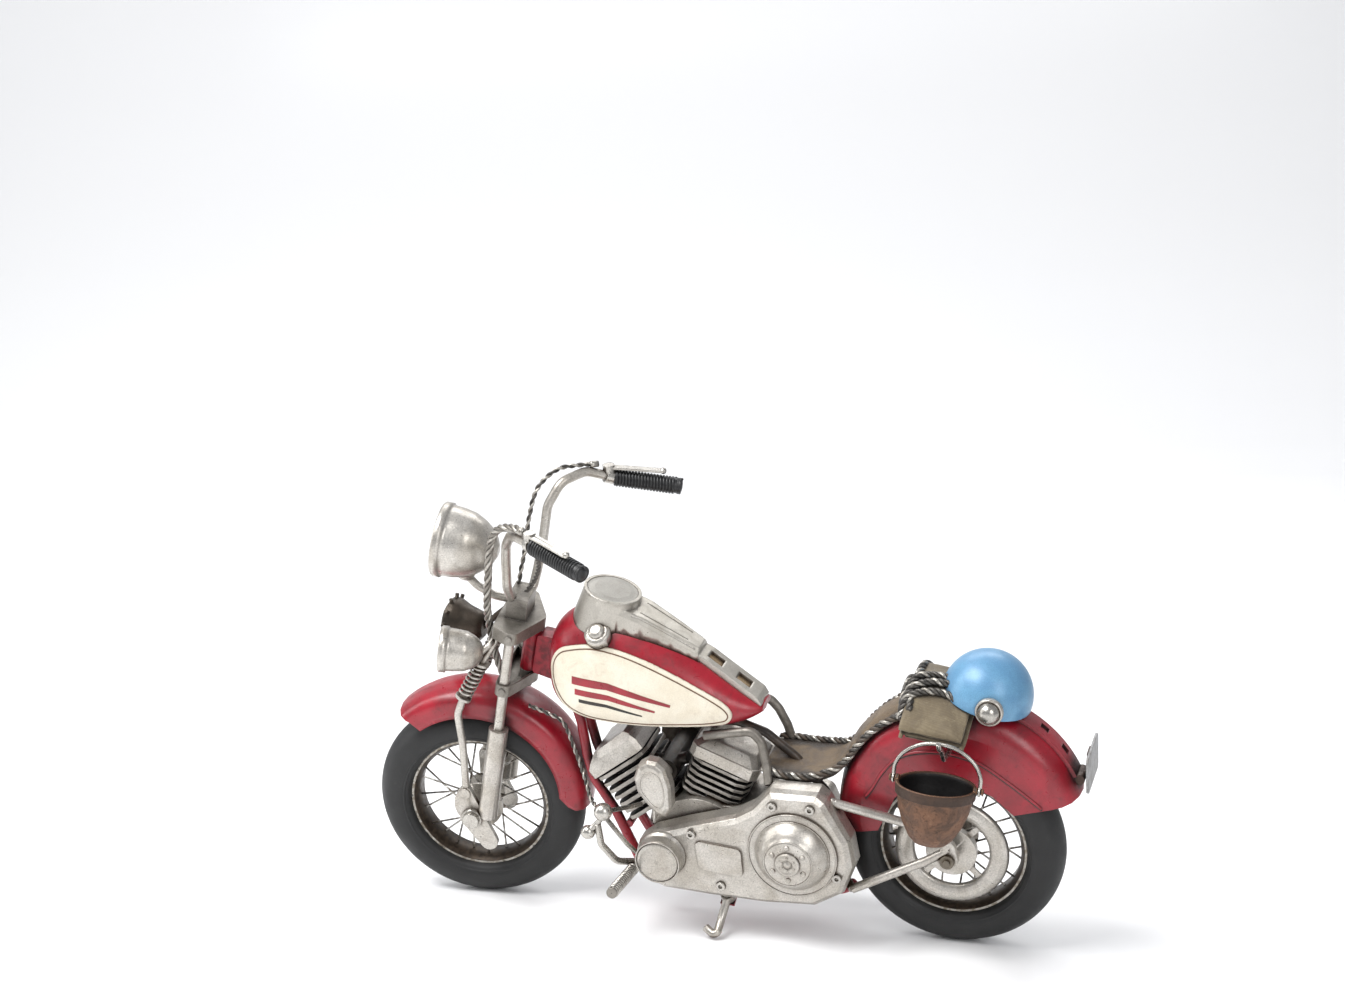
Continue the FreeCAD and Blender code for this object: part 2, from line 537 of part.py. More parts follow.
TANK = [(-167.0, 8.0, 106.5, 123.0), (-164.2, 13.6, 101.5, 130.4), (-159.0, 17.0, 97.0, 135.6), (-151.0, 19.2, 94.4, 139.0), (-140.0, 20.0, 93.4, 138.6), (-128.0, 19.9, 93.0, 134.6),
        (-114.0, 18.6, 93.0, 127.6), (-101.0, 16.6, 93.4, 119.4), (-90.5, 13.8, 94.4, 111.4), (-82.0, 9.8, 96.6, 105.2), (-77.2, 6.0, 98.8, 101.8)]
tank_out = loft([section(*t) for t in TANK])
tank_in = loft([section(x, hw - 1.1, zb + 1.1, zt - 1.1) for x, hw, zb, zt in TANK[1:-1]])
tank_skin = loft([section(x, hw + 1.15, zb - 0.4, zt + 0.6) for x, hw, zb, zt in TANK])
neck_gap = slab([(-178, 106.3), (-172.8, 125.6), (-162.9, 123.8), (-158.3, 112), (-157.3, 99.4), (-166.5, 104.0)], -4.62, 4.62)
tank = tank_out.cut(tank_in).cut(neck_gap).cut(cradle).cut(neck)
frame["frame_cradle"] = cradle
PANEL = [(-164.3, 114.5), (-163.2, 120.4), (-159.6, 124.8), (-153.9, 127.1), (-145.7, 128.4), (-135.8, 127.2), (-126.1, 124.2), (-109.8, 116.6), (-95.2, 108.0), (-89.4, 103.2), (-88.0, 100.0),
         (-89.4, 97.2), (-93.5, 96.0), (-111.3, 94.9), (-122.6, 94.5), (-139.8, 95.0), (-150.5, 96.8), (-158.5, 100.8), (-162.8, 107.0)]
pc = Part.BSplineCurve()
pc.interpolate([V(x, -40, z) for x, z in PANEL], PeriodicFlag=True)
prism = Part.Face(Part.Wire([pc.toShape()])).extrude(V(0, 32, 0))
panel_l = tank_skin.common(prism).cut(tank_out)
panel_l = max(panel_l.Solids, key=lambda s: s.Volume)
panels = group(panel_l, mirror(panel_l))
frame["fuel_tank"] = tank
frame["tank_panels"] = panels

# console on the tank
DIAL_C = V(-139.8, 0, 146.4)
DIAL_N = V(math.sin(math.radians(15.5)), 0, math.cos(math.radians(15.5)))
base = DIAL_C - DIAL_N * 16
dome = Part.makeCone(14.2, 11.9, 15.0, base, DIAL_N)
lip = Part.makeCylinder(12.0, 1.0, DIAL_C - DIAL_N * 1.0, DIAL_N)


def box_section(x, hw, zb, zt, c=2.0):
    p = [(-hw - 1.2, zb), (hw + 1.2, zb), (hw, zt - c), (hw - c, zt), (-hw + c, zt), (-hw, zt - c)]
    return Part.makePolygon([V(x, a, b) for a, b in p] + [V(x, p[0][0], p[0][1])])


wedge = loft([box_section(-140.5, 11.2, 130, 144.6), box_section(-126, 9.8, 126, 138.4), box_section(-114, 8.0, 120, 131.4), box_section(-103.0, 6.2, 112, 124.8)], True)
console = fuse(dome, lip, wedge)
console = console.cut(Part.makeCylinder(10.6, 2.0, DIAL_C - DIAL_N * 0.9, DIAL_N))
console = console.cut(tank_out)
console = max(console.Solids, key=lambda s: s.Volume)
dial = Part.makeCylinder(10.5, 0.7, DIAL_C - DIAL_N * 0.88, DIAL_N)
dial = fuse(dial, Part.makeCone(9.6, 7.5, 0.5, DIAL_C - DIAL_N * 0.2, DIAL_N))
strip = slab([(-103.6, 112.0), (-103.6, 122.6), (-99.5, 120.2), (-89.5, 112.6), (-79.2, 104.9), (-77.6, 101.9), (-80, 99), (-90, 104)], -6.0, 6.0)
for cx in (-97.3, -86.0):
    strip = strip.cut(slab([(cx - 2.9, 95), (cx + 2.9, 95), (cx + 2.9, 130), (cx - 2.9, 130)], -2.9, 2.9))
strip = strip.cut(tank_out)
strip = max(strip.Solids, key=lambda s: s.Volume)
frame["dash_console"] = fuse(console, strip)
frame["speedometer"] = dial


def cap(x, y, z, s):
    n = V(-0.05, s * 0.52, 0.85)
    n.normalize()
    c = V(x, y, z)
    g = Part.makeCylinder(5.4, 4.6, c - n * 3.6, n).fuse(Part.makeCone(5.4, 4.2, 0.7, c + n * 1.0, n)).fuse(Part.makeCylinder(3.3, 1.3, c + n * 1.6, n)).fuse(Part.makeCone(3.3, 2.0, 0.7, c + n * 2.9, n))
    g = g.removeSplitter().cut(tank_out).cut(console)
    return max(g.Solids, key=lambda q: q.Volume)


frame["filler_caps"] = group(*[max(g.cut(panels).Solids, key=lambda q: q.Volume) for g in (cap(-142.6, -14.6, 132.6, -1), cap(-142.6, 14.6, 132.6, 1))])

# engine
crank = cyl((-105, -16.5, 42), (-105, 16.5, 42), 19.6)
crank = fuse(crank, slab([(-124, 30), (-124, 54), (-118, 58.4), (-88, 58.4), (-60, 60.5), (-54, 58), (-51, 50), (-51, 34), (-54, 26), (-62, 22.4), (-110, 22.4)], -14.5, 14.5, 4))
timing = fuse(slab(hull([(-120, 46, 7), (-104, 37, 12), (-90, 48, 9), (-102, 58, 6)]), 14.4, 19.5), cyl((-104, 19, 40), (-104, 21.5, 40), 7.5))
crank = fuse(crank, timing, cyl((-104, 0, 42), (-104, -18.5, 42), 6), slab([(-84, 30), (-84, 52), (-60, 52), (-60, 30)], -18.5, -14))
neck = neck.cut(crank)
frame["frame_neck"] = neck


def jug(cx, cz, ang, length, n):
    """finned barrel: base point, lean in degrees from upright, its length and number of fins"""
    a = math.radians(ang)
    ex, ez = V(math.cos(a), 0, -math.sin(a)), V(math.sin(a), 0, math.cos(a))
    b = V(cx, 0, cz)
    s = Part.makeCylinder(10.2, length, b, ez)
    pitch = length / n
    for i in range(n):
        o = b + ez * (pitch * i + pitch * 0.3)
        w, h = 13.6, 13.6
        c = 5.5
        p = [(-w, -h + c), (-w + 1.6, -h + 1.6), (-w + c, -h), (w - c, -h), (w - 1.6, -h + 1.6), (w, -h + c), (w, h - c), (w - 1.6, h - 1.6), (w - c, h), (-w + c, h), (-w + 1.6, h - 1.6), (-w, h - c)]
        q = [o + ex * u + V(0, v, 0) for u, v in p]
        s = s.fuse(Part.Face(Part.makePolygon(q + [q[0]])).extrude(ez * (pitch * 0.46)))
    return s.removeSplitter(), b, ex, ez


def rocker_box(b, ex, ez, t, hw, hh):
    def ringw(w, h, k, c):
        o = b + ez * k
        p = [(-w, -h + c), (-w + c, -h), (w - c, -h), (w, -h + c), (w, h - c), (w - c, h), (-w + c, h), (-w, h - c)]
        q = [o + ex * u + V(0, v, 0) for u, v in p]
        return Part.makePolygon(q + [q[0]])
    low = loft([ringw(hw, hh, t, 2.5), ringw(hw, hh, t + 5.2, 2.5)], True)
    top = loft([ringw(hw - 0.6, hh - 0.6, t + 5.1, 2.5), ringw(hw - 4.0, hh - 4.5, t + 8.6, 2.5)], True)
    return fuse(low, top)


fj, fb, fex, fez = jug(-124.6, 52.6, -36.2, 24.6, 7)
rj, rb, rex, rez = jug(-101.0, 58.6, 22.6, 18.2, 6)


def head_box(b, ex, ez, t, poly, hh):
    o = b + ez * t

    def prism(pts, d):
        return Part.Face(Part.makePolygon(pts + [pts[0]])).extrude(d)
    side = prism([o + ex * u + ez * w + V(0, -hh, 0) for u, w in poly], V(0, 2 * hh, 0))
    n = 30
    across = prism([o - ex * n + V(0, a, 0) + ez * w for a, w in ((-hh, 0), (hh, 0), (hh, 6.4), (hh - 3.6, 10.8), (-hh + 3.6, 10.8), (-hh, 6.4))], ex * (2 * n))
    plan = prism([o - ez * 2 + ex * u + V(0, a, 0) for u, a in ((-14.4, -hh + 2.2), (-12.2, -hh), (12.0, -hh), (14.2, -hh + 2.2), (14.2, hh - 2.2), (12.0, hh), (-12.2, hh), (-14.4, hh - 2.2))], ez * 16)
    return side.common(across).common(plan)


front_head = head_box(fb, fex, fez, 24.65, [(-13.2, 0), (14.0, 0), (14.0, 5.0), (13.2, 8.6), (11.0, 10.2), (-6.4, 9.2), (-12.4, 4.2), (-13.4, 2.0)], 14.0).cut(cradle)
front_head = max(front_head.Solids, key=lambda q: q.Volume)
rear_head = rocker_box(rb, rex, rez, 18.25, 15.0, 14.0)
fj = fj.cut(crank).cut(cradle)
rj = rj.cut(crank)
fj = max(fj.Solids, key=lambda s: s.Volume)
rj = max(rj.Solids, key=lambda s: s.Volume)
rj = rj.cut(fj)
rj = max(rj.Solids, key=lambda s: s.Volume)
frame["engine_case"] = crank
frame["front_cylinder"] = fj
frame["rear_cylinder"] = rj
frame["rocker_covers"] = group(front_head, rear_head)
intake = fuse(cyl((-118.2, -12, 71.5), (-118.2, 20, 71.5), 4.6), cyl((-118.2, 20, 71.5), (-118.2, 21.6, 71.5), 12.2), cyl((-118.2, 21.6, 71.5), (-118.2, 28, 71.5), 11.2),
              cone((-118.2, 28, 71.5), (-118.2, 30, 71.5), 11.2, 8.5), cyl((-118.2, -4, 71.5), (-111, -4, 74), 2.6), cyl((-118.2, -4, 71.5), (-126, -4, 72), 2.6))
for s in (fj, rj, front_head, rear_head, neck):
    intake = intake.cut(s)
intake = max(intake.Solids, key=lambda s: s.Volume)
frame["air_cleaner"] = intake
HORN = [(-124.6, 81.6), (-120.5, 84.2), (-116.4, 83.6), (-113.2, 80.6), (-111.2, 72.5), (-111.4, 63.2), (-114.2, 58.8), (-118.0, 59.6), (-122.0, 64.2), (-125.8, 69.6), (-126.8, 75.6)]
horn = loft([outline(HORN, 0, -23.5), outline(HORN, 0, -28.0), outline(inset(HORN, 0.9), 0, -29.6), outline(inset(HORN, 2.2), 0, -30.4)], True)
horn = horn.fuse(cyl((-118.4, -24, 71.5), (-118.4, -12.02, 71.5), 2.8)).removeSplitter()
horn = horn.cut(fj).cut(rj).cut(front_head).cut(rear_head).cut(intake)
horn = max(horn.Solids, key=lambda s: s.Volume)
frame["horn_cover"] = horn

PRIM = [(-121.1, 50.4), (-106.8, 55.4), (-84.9, 62.0), (-77.6, 66.4), (-69.8, 75.4), (-50.0, 75.4), (-46.4, 72.4), (-37.3, 55.2), (-35.7, 43.7), (-41.0, 30.6), (-52.7, 23.8), (-74.1, 22.8), (-96.3, 23.6),
        (-117.5, 25.0), (-126.4, 30.2), (-129.6, 38.0), (-127.2, 45.6)]
prim = loft([outline(PRIM, 0, -18.6), outline(PRIM, 0, -25.6), outline(inset(PRIM, 0.9), 0, -28.2), outline(inset(PRIM, 2.8), 0, -30.0)], True)
plate = slab([(-102.0, 50.4), (-82.4, 48.2), (-82.0, 35.4), (-100.6, 37.6)], -31.2, -29.8, 2.2)
shelf = cyl((-60.5, -29.8, 48.2), (-60.5, -31.0, 48.2), 18.2)
prim = fuse(prim, plate, shelf)
prim = prim.cut(cyl((-116.3, -29.0, 42.3), (-116.3, -45, 42.3), 10.1)).cut(cradle)
derby = turned([(0, 0), (0, 15.4), (1.0, 15.2), (2.6, 14.2), (4.6, 12.4), (6.2, 10.4), (6.9, 9.9), (7.2, 9.3), (7.2, 5.0), (7.9, 4.7), (7.9, 0)], (-60.7, -31.02, 48.2), (-60.7, -45, 48.2))
alt = turned([(0, 0), (0, 10.0), (1.6, 10.0), (1.9, 9.3), (7.6, 9.1), (8.5, 8.2), (8.7, 0)], (-116.3, -29.02, 42.3), (-116.3, -45, 42.3))
frame["primary_cover"] = prim
frame["derby_cover"] = derby
frame["alternator_cover"] = alt
screws = []
for x, z in ((-68.3, 69.4), (-52.6, 69.4), (-103.3, 53.0), (-91.9, 30.2), (-42.6, 39.2)):
    y = -29.2 if z > 60 or x < -80 else -29.2
    c = cyl((x, -28.6, z), (x, -31.3, z), 1.9).cut(cyl((x, -30.7, z), (x, -32, z), 0.85))
    screws.append(c)
prim = prim.cut(group(*[cyl((x, -28.58, z), (x, -40, z), 1.92) for x, z in ((-68.3, 69.4), (-52.6, 69.4), (-103.3, 53.0), (-91.9, 30.2), (-42.6, 39.2))]))
frame["primary_cover"] = prim
frame["primary_screws"] = group(*screws)

# exhaust: two headers into one short silencer low on the right
ex1 = tube([(-136.5, 4, 66.0), (-139.6, 10, 60.0), (-138.6, 15.5, 50.0), (-130, 20.5, 40.0), (-118, 24.6, 30.4), (-100, 25.4, 27.4), (-88, 25.4, 27.0)], 2.6, 9)
ex2 = tube([(-86.6, 8, 68.0), (-82.5, 14, 66.0), (-80.5, 20, 56), (-80, 25.2, 42), (-79.5, 25.4, 30)], 2.6, 8)
muf = turned([(0, 0), (0, 2.7), (3, 4.6), (8, 5.2), (34, 5.2), (37, 4.0), (38.5, 4.2), (38.5, 3.2), (12, 3.2), (12, 0)], (-90, 25.4, 26.9), (-50, 25.4, 26.5))
pipes = fuse(ex1, ex2, muf, cyl((-76, 14.4, 26.5), (-76, 22, 26.5), 1.4))
for s in (fj, rj, front_head, rear_head, crank, cradle):
    pipes = pipes.cut(s)
pipes = max(pipes.Solids, key=lambda s: s.Volume)
frame["exhaust_pipes"] = pipes

# seat
arc = [(3.2 + 52.8 * math.cos(math.radians(a)), 59.8 + 52.8 * math.sin(math.radians(a))) for a in (156, 150, 144, 138, 132, 126, 120, 114)]
arc_in = [(3.2 + 50.9 * math.cos(math.radians(a)), 59.8 + 50.9 * math.sin(math.radians(a))) for a in (114, 120, 126, 132, 138, 144, 150, 156, 162)]
seat_xz = [(-76.6, 75.0), (-76.0, 77.4), (-71, 76.6), (-60, 76.2), (-51.0, 76.8)] + arc + arc_in + [(-52.5, 74.0), (-60, 73.4), (-70, 73.8)]
seat = slab(seat_xz, -17.5, 17.5)
trim_s = [(-83, -10), (-78.0, -13.0), (-72.5, -15.8), (-64, -16.6), (-54, -16.0), (-48, -13.6), (-42, -11.4), (-8, -10.4)]
tp = [V(x, y, 50) for x, y in trim_s] + [V(x, -y, 50) for x, y in reversed(trim_s)]
seat = seat.common(Part.Face(Part.makePolygon(tp + [tp[0]])).extrude(V(0, 0, 80)))
seat = seat.cut(group(seat_l, seat_r)).cut(neck).cut(prim).cut(rear_head)
seat = max(seat.Solids, key=lambda s: s.Volume)
frame["seat"] = seat

# rear fender
RC = (3.2, 0, 59.8)
rp = [(14.0, -14.2), (39.4, -14.2), (44.0, -13.4), (47.5, -10.8), (49.7, -6.2), (50.7, 0.0)]
ri = [(14.0, -13.4), (39.2, -13.4), (43.5, -12.7), (46.8, -10.3), (48.9, -5.9), (49.9, 0.0)]
rfen = spin(rp + [(r, -y) for r, y in reversed(rp[:-1])] + list(reversed(ri + [(r, -y) for r, y in reversed(ri[:-1])])), RC, 15.5, 190.5)
low_edge = slab([(-41.6, 49.6), (-30.4, 51.2), (-25.4, 61.0), (-21.6, 69.4), (-14.5, 76.2), (-4, 79.6), (8, 78.4), (18, 74.0), (26.2, 66.4), (33.6, 64.0), (46.2, 69.0), (60, 80), (60, 20), (-60, 20), (-60, 49.6)], -30, 30)
rfen = rfen.cut(low_edge)
rfen = max(rfen.Solids, key=lambda s: s.Volume)
fstrip = spin([(49.6, -5.0), (51.5, -5.0), (51.8, 0), (51.5, 5.0), (49.6, 5.0)], RC, 24.5, 108.0)
rfull = spin(rp + [(r, -y) for r, y in reversed(rp[:-1])] + [(14.0, 14.2), (14.0, -14.2)], RC, 10, 195)
for a in (36.5, 49.5, 62.5, 75.5):
    b = math.radians(a)
    c = V(RC[0] + 51 * math.cos(b), 0, RC[2] + 51 * math.sin(b))
    s = Part.makeBox(4.0, 3.4, 12, V(-2.0, -1.7, -6))
    s.Placement = FreeCAD.Placement(c, FreeCAD.Rotation(V(0, 1, 0), 90 - a)).multiply(s.Placement)
    fstrip = fstrip.cut(s)
fstrip = fstrip.cut(rfull)
fstrip = max(fstrip.Solids, key=lambda s: s.Volume)
frame["rear_fender"] = fuse(rfen, fstrip)
seat = seat.cut(rfen)
seat = max(seat.Solids, key=lambda s: s.Volume)
frame["seat"] = seat

lace_pts_l = [(-76.6, -14.2, 77.8), (-72.0, -16.4, 76.4), (-64, -17.3, 76.0), (-55, -16.7, 76.2), (-49.0, -14.8, 77.6), (-45.2, -12.6, 82.4), (-39.6, -11.6, 90.2), (-33.0, -11.3, 97.2), (-26.2, -11.1, 102.6), (-19.2, -11.0, 106.6)]
lace_l = tube(lace_pts_l, 1.2, 5)
lace_r = tube([flip(p) for p in lace_pts_l], 1.2, 5)
lacing = []
for c in (lace_l, lace_r):
    for s in (seat, rfen, seat_l, seat_r, prim, rear_head):
        c = c.cut(s)
    lacing.append(max(c.Solids, key=lambda q: q.Volume))
frame["seat_lacing"] = group(*lacing)

for s in (prim, crank, neck, cradle):
    seat_l, seat_r = seat_l.cut(s), seat_r.cut(s)
seat_l, seat_r = (max(s.cut(tank_out).cut(panels).Solids, key=lambda q: q.Volume) for s in (seat_l, seat_r))
frame["seat_tubes"] = group(seat_l, seat_r)

# rear stays and axle
def stay(s):
    up = tube([(-44.5, s * 22, 69.0), (-14.7, s * 18.4, 60.6), (-3.0, s * 16.9, 53.4), (0.4, s * 16.6, 50.4)], 1.9, 8)
    lo_ = tube([(-38.6, s * 22, 30.2), (-9.0, s * 18.0, 44.0), (-1.6, s * 16.8, 48.0), (0.4, s * 16.6, 50.2)], 1.9, 3)
    lug = slab(hull([(RA[0], RA[2] - 0.2, 4.2), (RA[0] + 0.4, RA[2] + 5.6, 2.8)]), s * 16.6 - 1.3, s * 16.6 + 1.3)
    t = fuse(up, lo_, lug)
    return t.cut(cyl((0, -60, RA[2]), (0, 60, RA[2]), AXLE_R + 0.01))


st_l, st_r = stay(-1), stay(1)
st_l = st_l.fuse(tube([(-44.5, -22, 69.0), (-47.2, -22.3, 69.6)], 1.9)).removeSplitter()
tab_r = [cyl((-44.5, 22, 69.0), (-47.5, 13.0, 56.0), 1.7), cyl((-38.6, 22, 30.2), (-44.6, 13.4, 32.4), 1.7)]
st_r = fuse(st_r, *tab_r)
tab_l = [cyl((-38.6, -22, 30.2), (-44.6, -13.4, 32.4), 1.7), cyl((-44.5, -22, 69.0), (-47.5, -13.0, 56.0), 1.7)]
st_l = fuse(st_l, *tab_l)
for s in (prim, crank, cradle):
    st_l, st_r = st_l.cut(s), st_r.cut(s)
raxle = fuse(cyl((0, -20.6, RA[2]), (0, 20.6, RA[2]), AXLE_R), cyl((0, -19.6, RA[2]), (0, -17.92, RA[2]), 2.9), cyl((0, 17.92, RA[2]), (0, 19.6, RA[2]), 2.9),
             cyl((0, -15.28, RA[2]), (0, -11.1, RA[2]), 2.3), cyl((0, 9.3, RA[2]), (0, 15.28, RA[2]), 2.3))
frame["rear_axle"] = raxle
st_l, st_r = (max(s.cut(raxle).Solids, key=lambda q: q.Volume) for s in (st_l, st_r))
frame["rear_stays"] = group(st_l, st_r)

# tail bracket and plate
tb = fuse(cyl((50.8, -4.6, 79.6), (50.8, 4.6, 79.6), 2.3), tube([(51.2, 0, 80.2), (53.4, 0, 81.0), (54.8, 0, 82.8)], 1.2, 2),
          slab([(53.7, 79.6), (54.8, 79.6), (54.8, 91), (53.7, 91)], -3.4, 3.4)).cut(rfull).cut(fstrip)
tb = max(tb.Solids, key=lambda s: s.Volume)
frame["tail_bracket"] = tb
pl = [(-12.5, 79.0), (-11.0, 77.5), (11.0, 77.5), (12.5, 79.0), (12.5, 91.5), (11.0, 93.0), (-11.0, 93.0), (-12.5, 91.5)]
pts = [V(54.82, y, z) for y, z in pl]
plate = Part.Face(Part.makePolygon(pts + [pts[0]])).extrude(V(1.0, 0, 0))
frame["licence_plate"] = plate
tb = tb.cut(plate)
frame["tail_bracket"] = max(tb.Solids, key=lambda s: s.Volume)

# foot pegs, shift lever, brake pedal
def peg(s):
    a, b = (-131.5, s * 16.0, 29.4), (-129.8, s * 56, 37.5)
    rod = fuse(cyl(a, b, 1.5), tube([(-131.5, s * 16.0, 29.4), (-131.2, s * 12.2, 27.0)], 1.5))
    c = coil(along(a, b, 0.3), along(a, b, 0.975), 2.05, 0.52, 15)
    stop = cyl(along(a, b, 0.262), along(a, b, 0.285), 2.6)
    end = cyl(along(a, b, 0.99), along(a, b, 1.015), 2.3)
    rod = fuse(rod, stop, end).cut(cradle).cut(crank)
    rod = max(rod.Solids, key=lambda q: q.Volume)
    return rod, c


pr, prc = peg(1)
plr, plc = peg(-1)
frame["foot_pegs"] = group(pr, plr, prc, plc)
sh = fuse(ball((-137.7, -38, 64.0), 3.8), ball((-144.9, -38, 53.9), 3.0),
          tube([(-137.7, -38, 64.0), (-139.6, -37.6, 59.6), (-144.9, -38, 53.9)], 1.15, 2),
          tube([(-140.6, -37.8, 58.2), (-141.2, -34, 46.4), (-137.2, -28, 35.4), (-131.6, -20.6, 31.6)], 1.5, 8),
          tube([(-137.7, -38, 64.0), (-130.2, -26.0, 60.6), (-127.0, -21, 59.6)], 1.0, 3),
          tube([(-137.0, -37.6, 61.4), (-131.0, -31.5, 46.4), (-128.4, -28.6, 41.2)], 1.0, 3))
for s in (prim, alt, crank, cradle, fj, front_head, horn, plr, plc):
    sh = sh.cut(s)
sh = max(sh.Solids, key=lambda q: q.Volume)
frame["shift_lever"] = sh
bp = fuse(tube([(-134.6, 11.0, 31.0), (-136.5, 20, 31.5), (-138, 28, 33), (-146, 30, 39), (-154, 30, 46)], 1.4, 4), slab([(-158, 45.4), (-150.5, 48.2), (-151.0, 49.6), (-158.5, 46.8)], 25.5, 34.5))
bp = bp.cut(cradle).cut(crank).cut(pr).cut(prc)
bp = max(bp.Solids, key=lambda q: q.Volume)
frame["brake_pedal"] = bp
sc = tube([(-176.4, -12.4, 96.2), (-168.0, -12.9, 93.6), (-162.0, -13.0, 90.4), (-156.8, -14.6, 78.6), (-150.6, -22.0, 70.4), (-145.0, -31.0, 65.6), (-141.2, -35.8, 65.0)], 1.0, 7)
for s in (sh, neck, cradle, tank_out, panels):
    sc = sc.cut(s)
sc = max(sc.Solids, key=lambda q: q.Volume)
frame["shift_cable"] = sc

# luggage
def bundle_section(y, dz, grow):
    th = math.radians(-9)
    ex, ez = V(math.cos(th), 0, math.sin(th)), V(-math.sin(th), 0, math.cos(th))
    c = V(-2.0, y, 112.0 + dz)
    w, h = 13.6 + grow, 4.0 + grow * 0.5
    p = [(-w, -h * 0.5), (-w + 2, -h), (w - 2, -h), (w, -h * 0.5), (w, h * 0.5), (w - 2, h), (-w + 2, h), (-w, h * 0.5)]
    q = [c + ex * a + ez * b for a, b in p]
    return Part.makePolygon(q + [q[0]])


bag = loft([bundle_section(-27.0, -9.2, -0.3), bundle_section(-22.0, -6.4, 0.2), bundle_section(-15.0, -1.6, 0), bundle_section(-8.0, 2.4, 0), bundle_section(8.0, 2.6, 0), bundle_section(15.0, -1.4, 0),
            bundle_section(22.0, -6.4, 0.2), bundle_section(26.0, -9.6, -0.3)], True)
bag = bag.cut(rfull).cut(spin([(40, -5.1), (51.9, -5.1), (51.9, 5.1), (40, 5.1)], RC, 20, 112))
helm_n = V(math.sin(math.radians(16)), 0, math.cos(math.radians(16)))
helm_c = V(13.8, 0, 111.0)
bag = max(bag.Solids, key=lambda s: s.Volume)

hs = Part.makeSphere(18.2, helm_c + helm_n * 1.2)
hi_ = Part.makeSphere(17.0, helm_c + helm_n * 1.2)
keep = Part.makeCylinder(30, 40, helm_c, helm_n)
helmet = hs.cut(hi_).common(keep)
helmet = helmet.cut(rfull).cut(spin([(40, -5.1), (51.9, -5.1), (51.9, 5.1), (40, 5.1)], RC, 20, 112))
bag = bag.cut(Part.makeSphere(18.25, helm_c + helm_n * 1.2))
bag = max(bag.Solids, key=lambda s: s.Volume)
helmet = max(helmet.Solids, key=lambda s: s.Volume)
bc = helm_c + V(4.6, -18.4, 1.2)
ear = fuse(ball((bc.x, bc.y - 0.9, bc.z), 3.0), cyl((bc.x, bc.y + 1.6, bc.z), (bc.x, bc.y - 0.9, bc.z), 3.9)).cut(hs)
ear = max(ear.Solids, key=lambda s: s.Volume).cut(bag)
frame["luggage_bag"] = bag
frame["helmet"] = fuse(helmet, max(ear.Solids, key=lambda s: s.Volume))
rope = tube([(-13.2, -19.5, 111.9), (-13.4, -12.0, 117.4), (-12.8, -5.0, 120.0), (-12.4, 5.0, 120.3), (-12.2, 12.5, 117.0), (-12.2, 19.5, 111.9)], 1.5, 5)
rope = rope.cut(bag).cut(hs).cut(rfull)
rope2 = tube([(-17.4, -16.5, 106.5), (-17.8, -10.0, 111.6), (-17.6, -3.0, 114.6), (-17.6, 3.0, 114.6), (-17.8, 10.0, 111.6), (-17.4, 16.5, 106.5)], 1.4, 5)
rope2 = rope2.cut(bag).cut(rfull).cut(seat).cut(rope)
for s in lacing:
    rope2 = rope2.cut(s)
frame["luggage_rope"] = group(max(rope.Solids, key=lambda s: s.Volume), max(rope2.Solids, key=lambda s: s.Volume))

# hook for the bucket, out from under the luggage
hook = tube([(2.0, -14.25, 94.4), (2.0, -28.4, 96.2), (2.0, -31.6, 101.6), (2.0, -33.0, 103.3), (2.0, -35.6, 104.3), (2.0, -36.6, 107.4)], 1.0, 3)
hook = hook.cut(rfen).cut(bag)
frame["bucket_hook"] = max(hook.Solids, key=lambda s: s.Volume)

# ---------------------------------------------------------------- kickstand
foot_w = [(-93.5, -35.1, 1.75), (-98.6, -32.4, 4.3)]


def to_body(p):
    y, z = p[1], p[2] - TYRE_T
    c, n = math.cos(math.radians(LEAN)), math.sin(math.radians(LEAN))
    return (p[0], y * c + z * n, -y * n + z * c + TYRE_T)


leg_k = tube([(KP.x, KP.y, KP.z), to_body(foot_w[0]), to_body(foot_w[1])], 1.7, 2.6)
boss = Part.makeCylinder(3.0, 3.5, KP - KA * 1.75, KA)
leg_k = fuse(leg_k, boss).cut(Part.makeCylinder(1.0 + FIT, 20, KP - KA * 10, KA))
stand["kickstand"] = leg_k
bolt = Part.makeCylinder(1.0, 5.6, KP - KA * 2.95, KA).fuse(Part.makeCylinder(2.2, 1.0, KP + KA * 1.85, KA)).removeSplitter()
bolt = bolt.cut(cradle)
frame["kickstand_bolt"] = max(bolt.Solids, key=lambda s: s.Volume)
prim = prim.cut(Part.makeCylinder(2.5, 8, KP + KA * 1.7, KA))
frame["primary_cover"] = prim

# ---------------------------------------------------------------- bucket on its bail, plumb under the hook
HOOK_TOP = (2.0, -33.0, 103.3)
hy, hz = HOOK_TOP[1], HOOK_TOP[2] + 1.0 + 0.82 + 0.25 - TYRE_T
cl, sl = math.cos(math.radians(LEAN)), math.sin(math.radians(LEAN))
BAIL_TOP = V(HOOK_TOP[0], hy * cl - hz * sl, hy * sl + hz * cl + TYRE_T)
TIP = 5.0
ARCH = 16.2
bw, br = 0.8, 16.2
pts = [(17.05, 0, 0.0), (17.05, 0, 2.6), (17.7, 0, 6.0), (15.2, 0, 10.6), (10.0, 0, 13.2), (4.6, 0, 15.6), (0, 0, ARCH), (-4.6, 0, 15.6), (-10.0, 0, 13.2), (-15.2, 0, 10.6), (-17.7, 0, 6.0), (-17.05, 0, 2.6), (-17.05, 0, 0.0)]
wire = tube(pts, bw, 5)
eyes = [cyl((s * 16.45, 0, 0), (s * 17.65, 0, 0), 1.9) for s in (-1, 1)]
bail = fuse(wire, *eyes).cut(cyl((-30, 0, 0), (30, 0, 0), 0.85 + FIT))
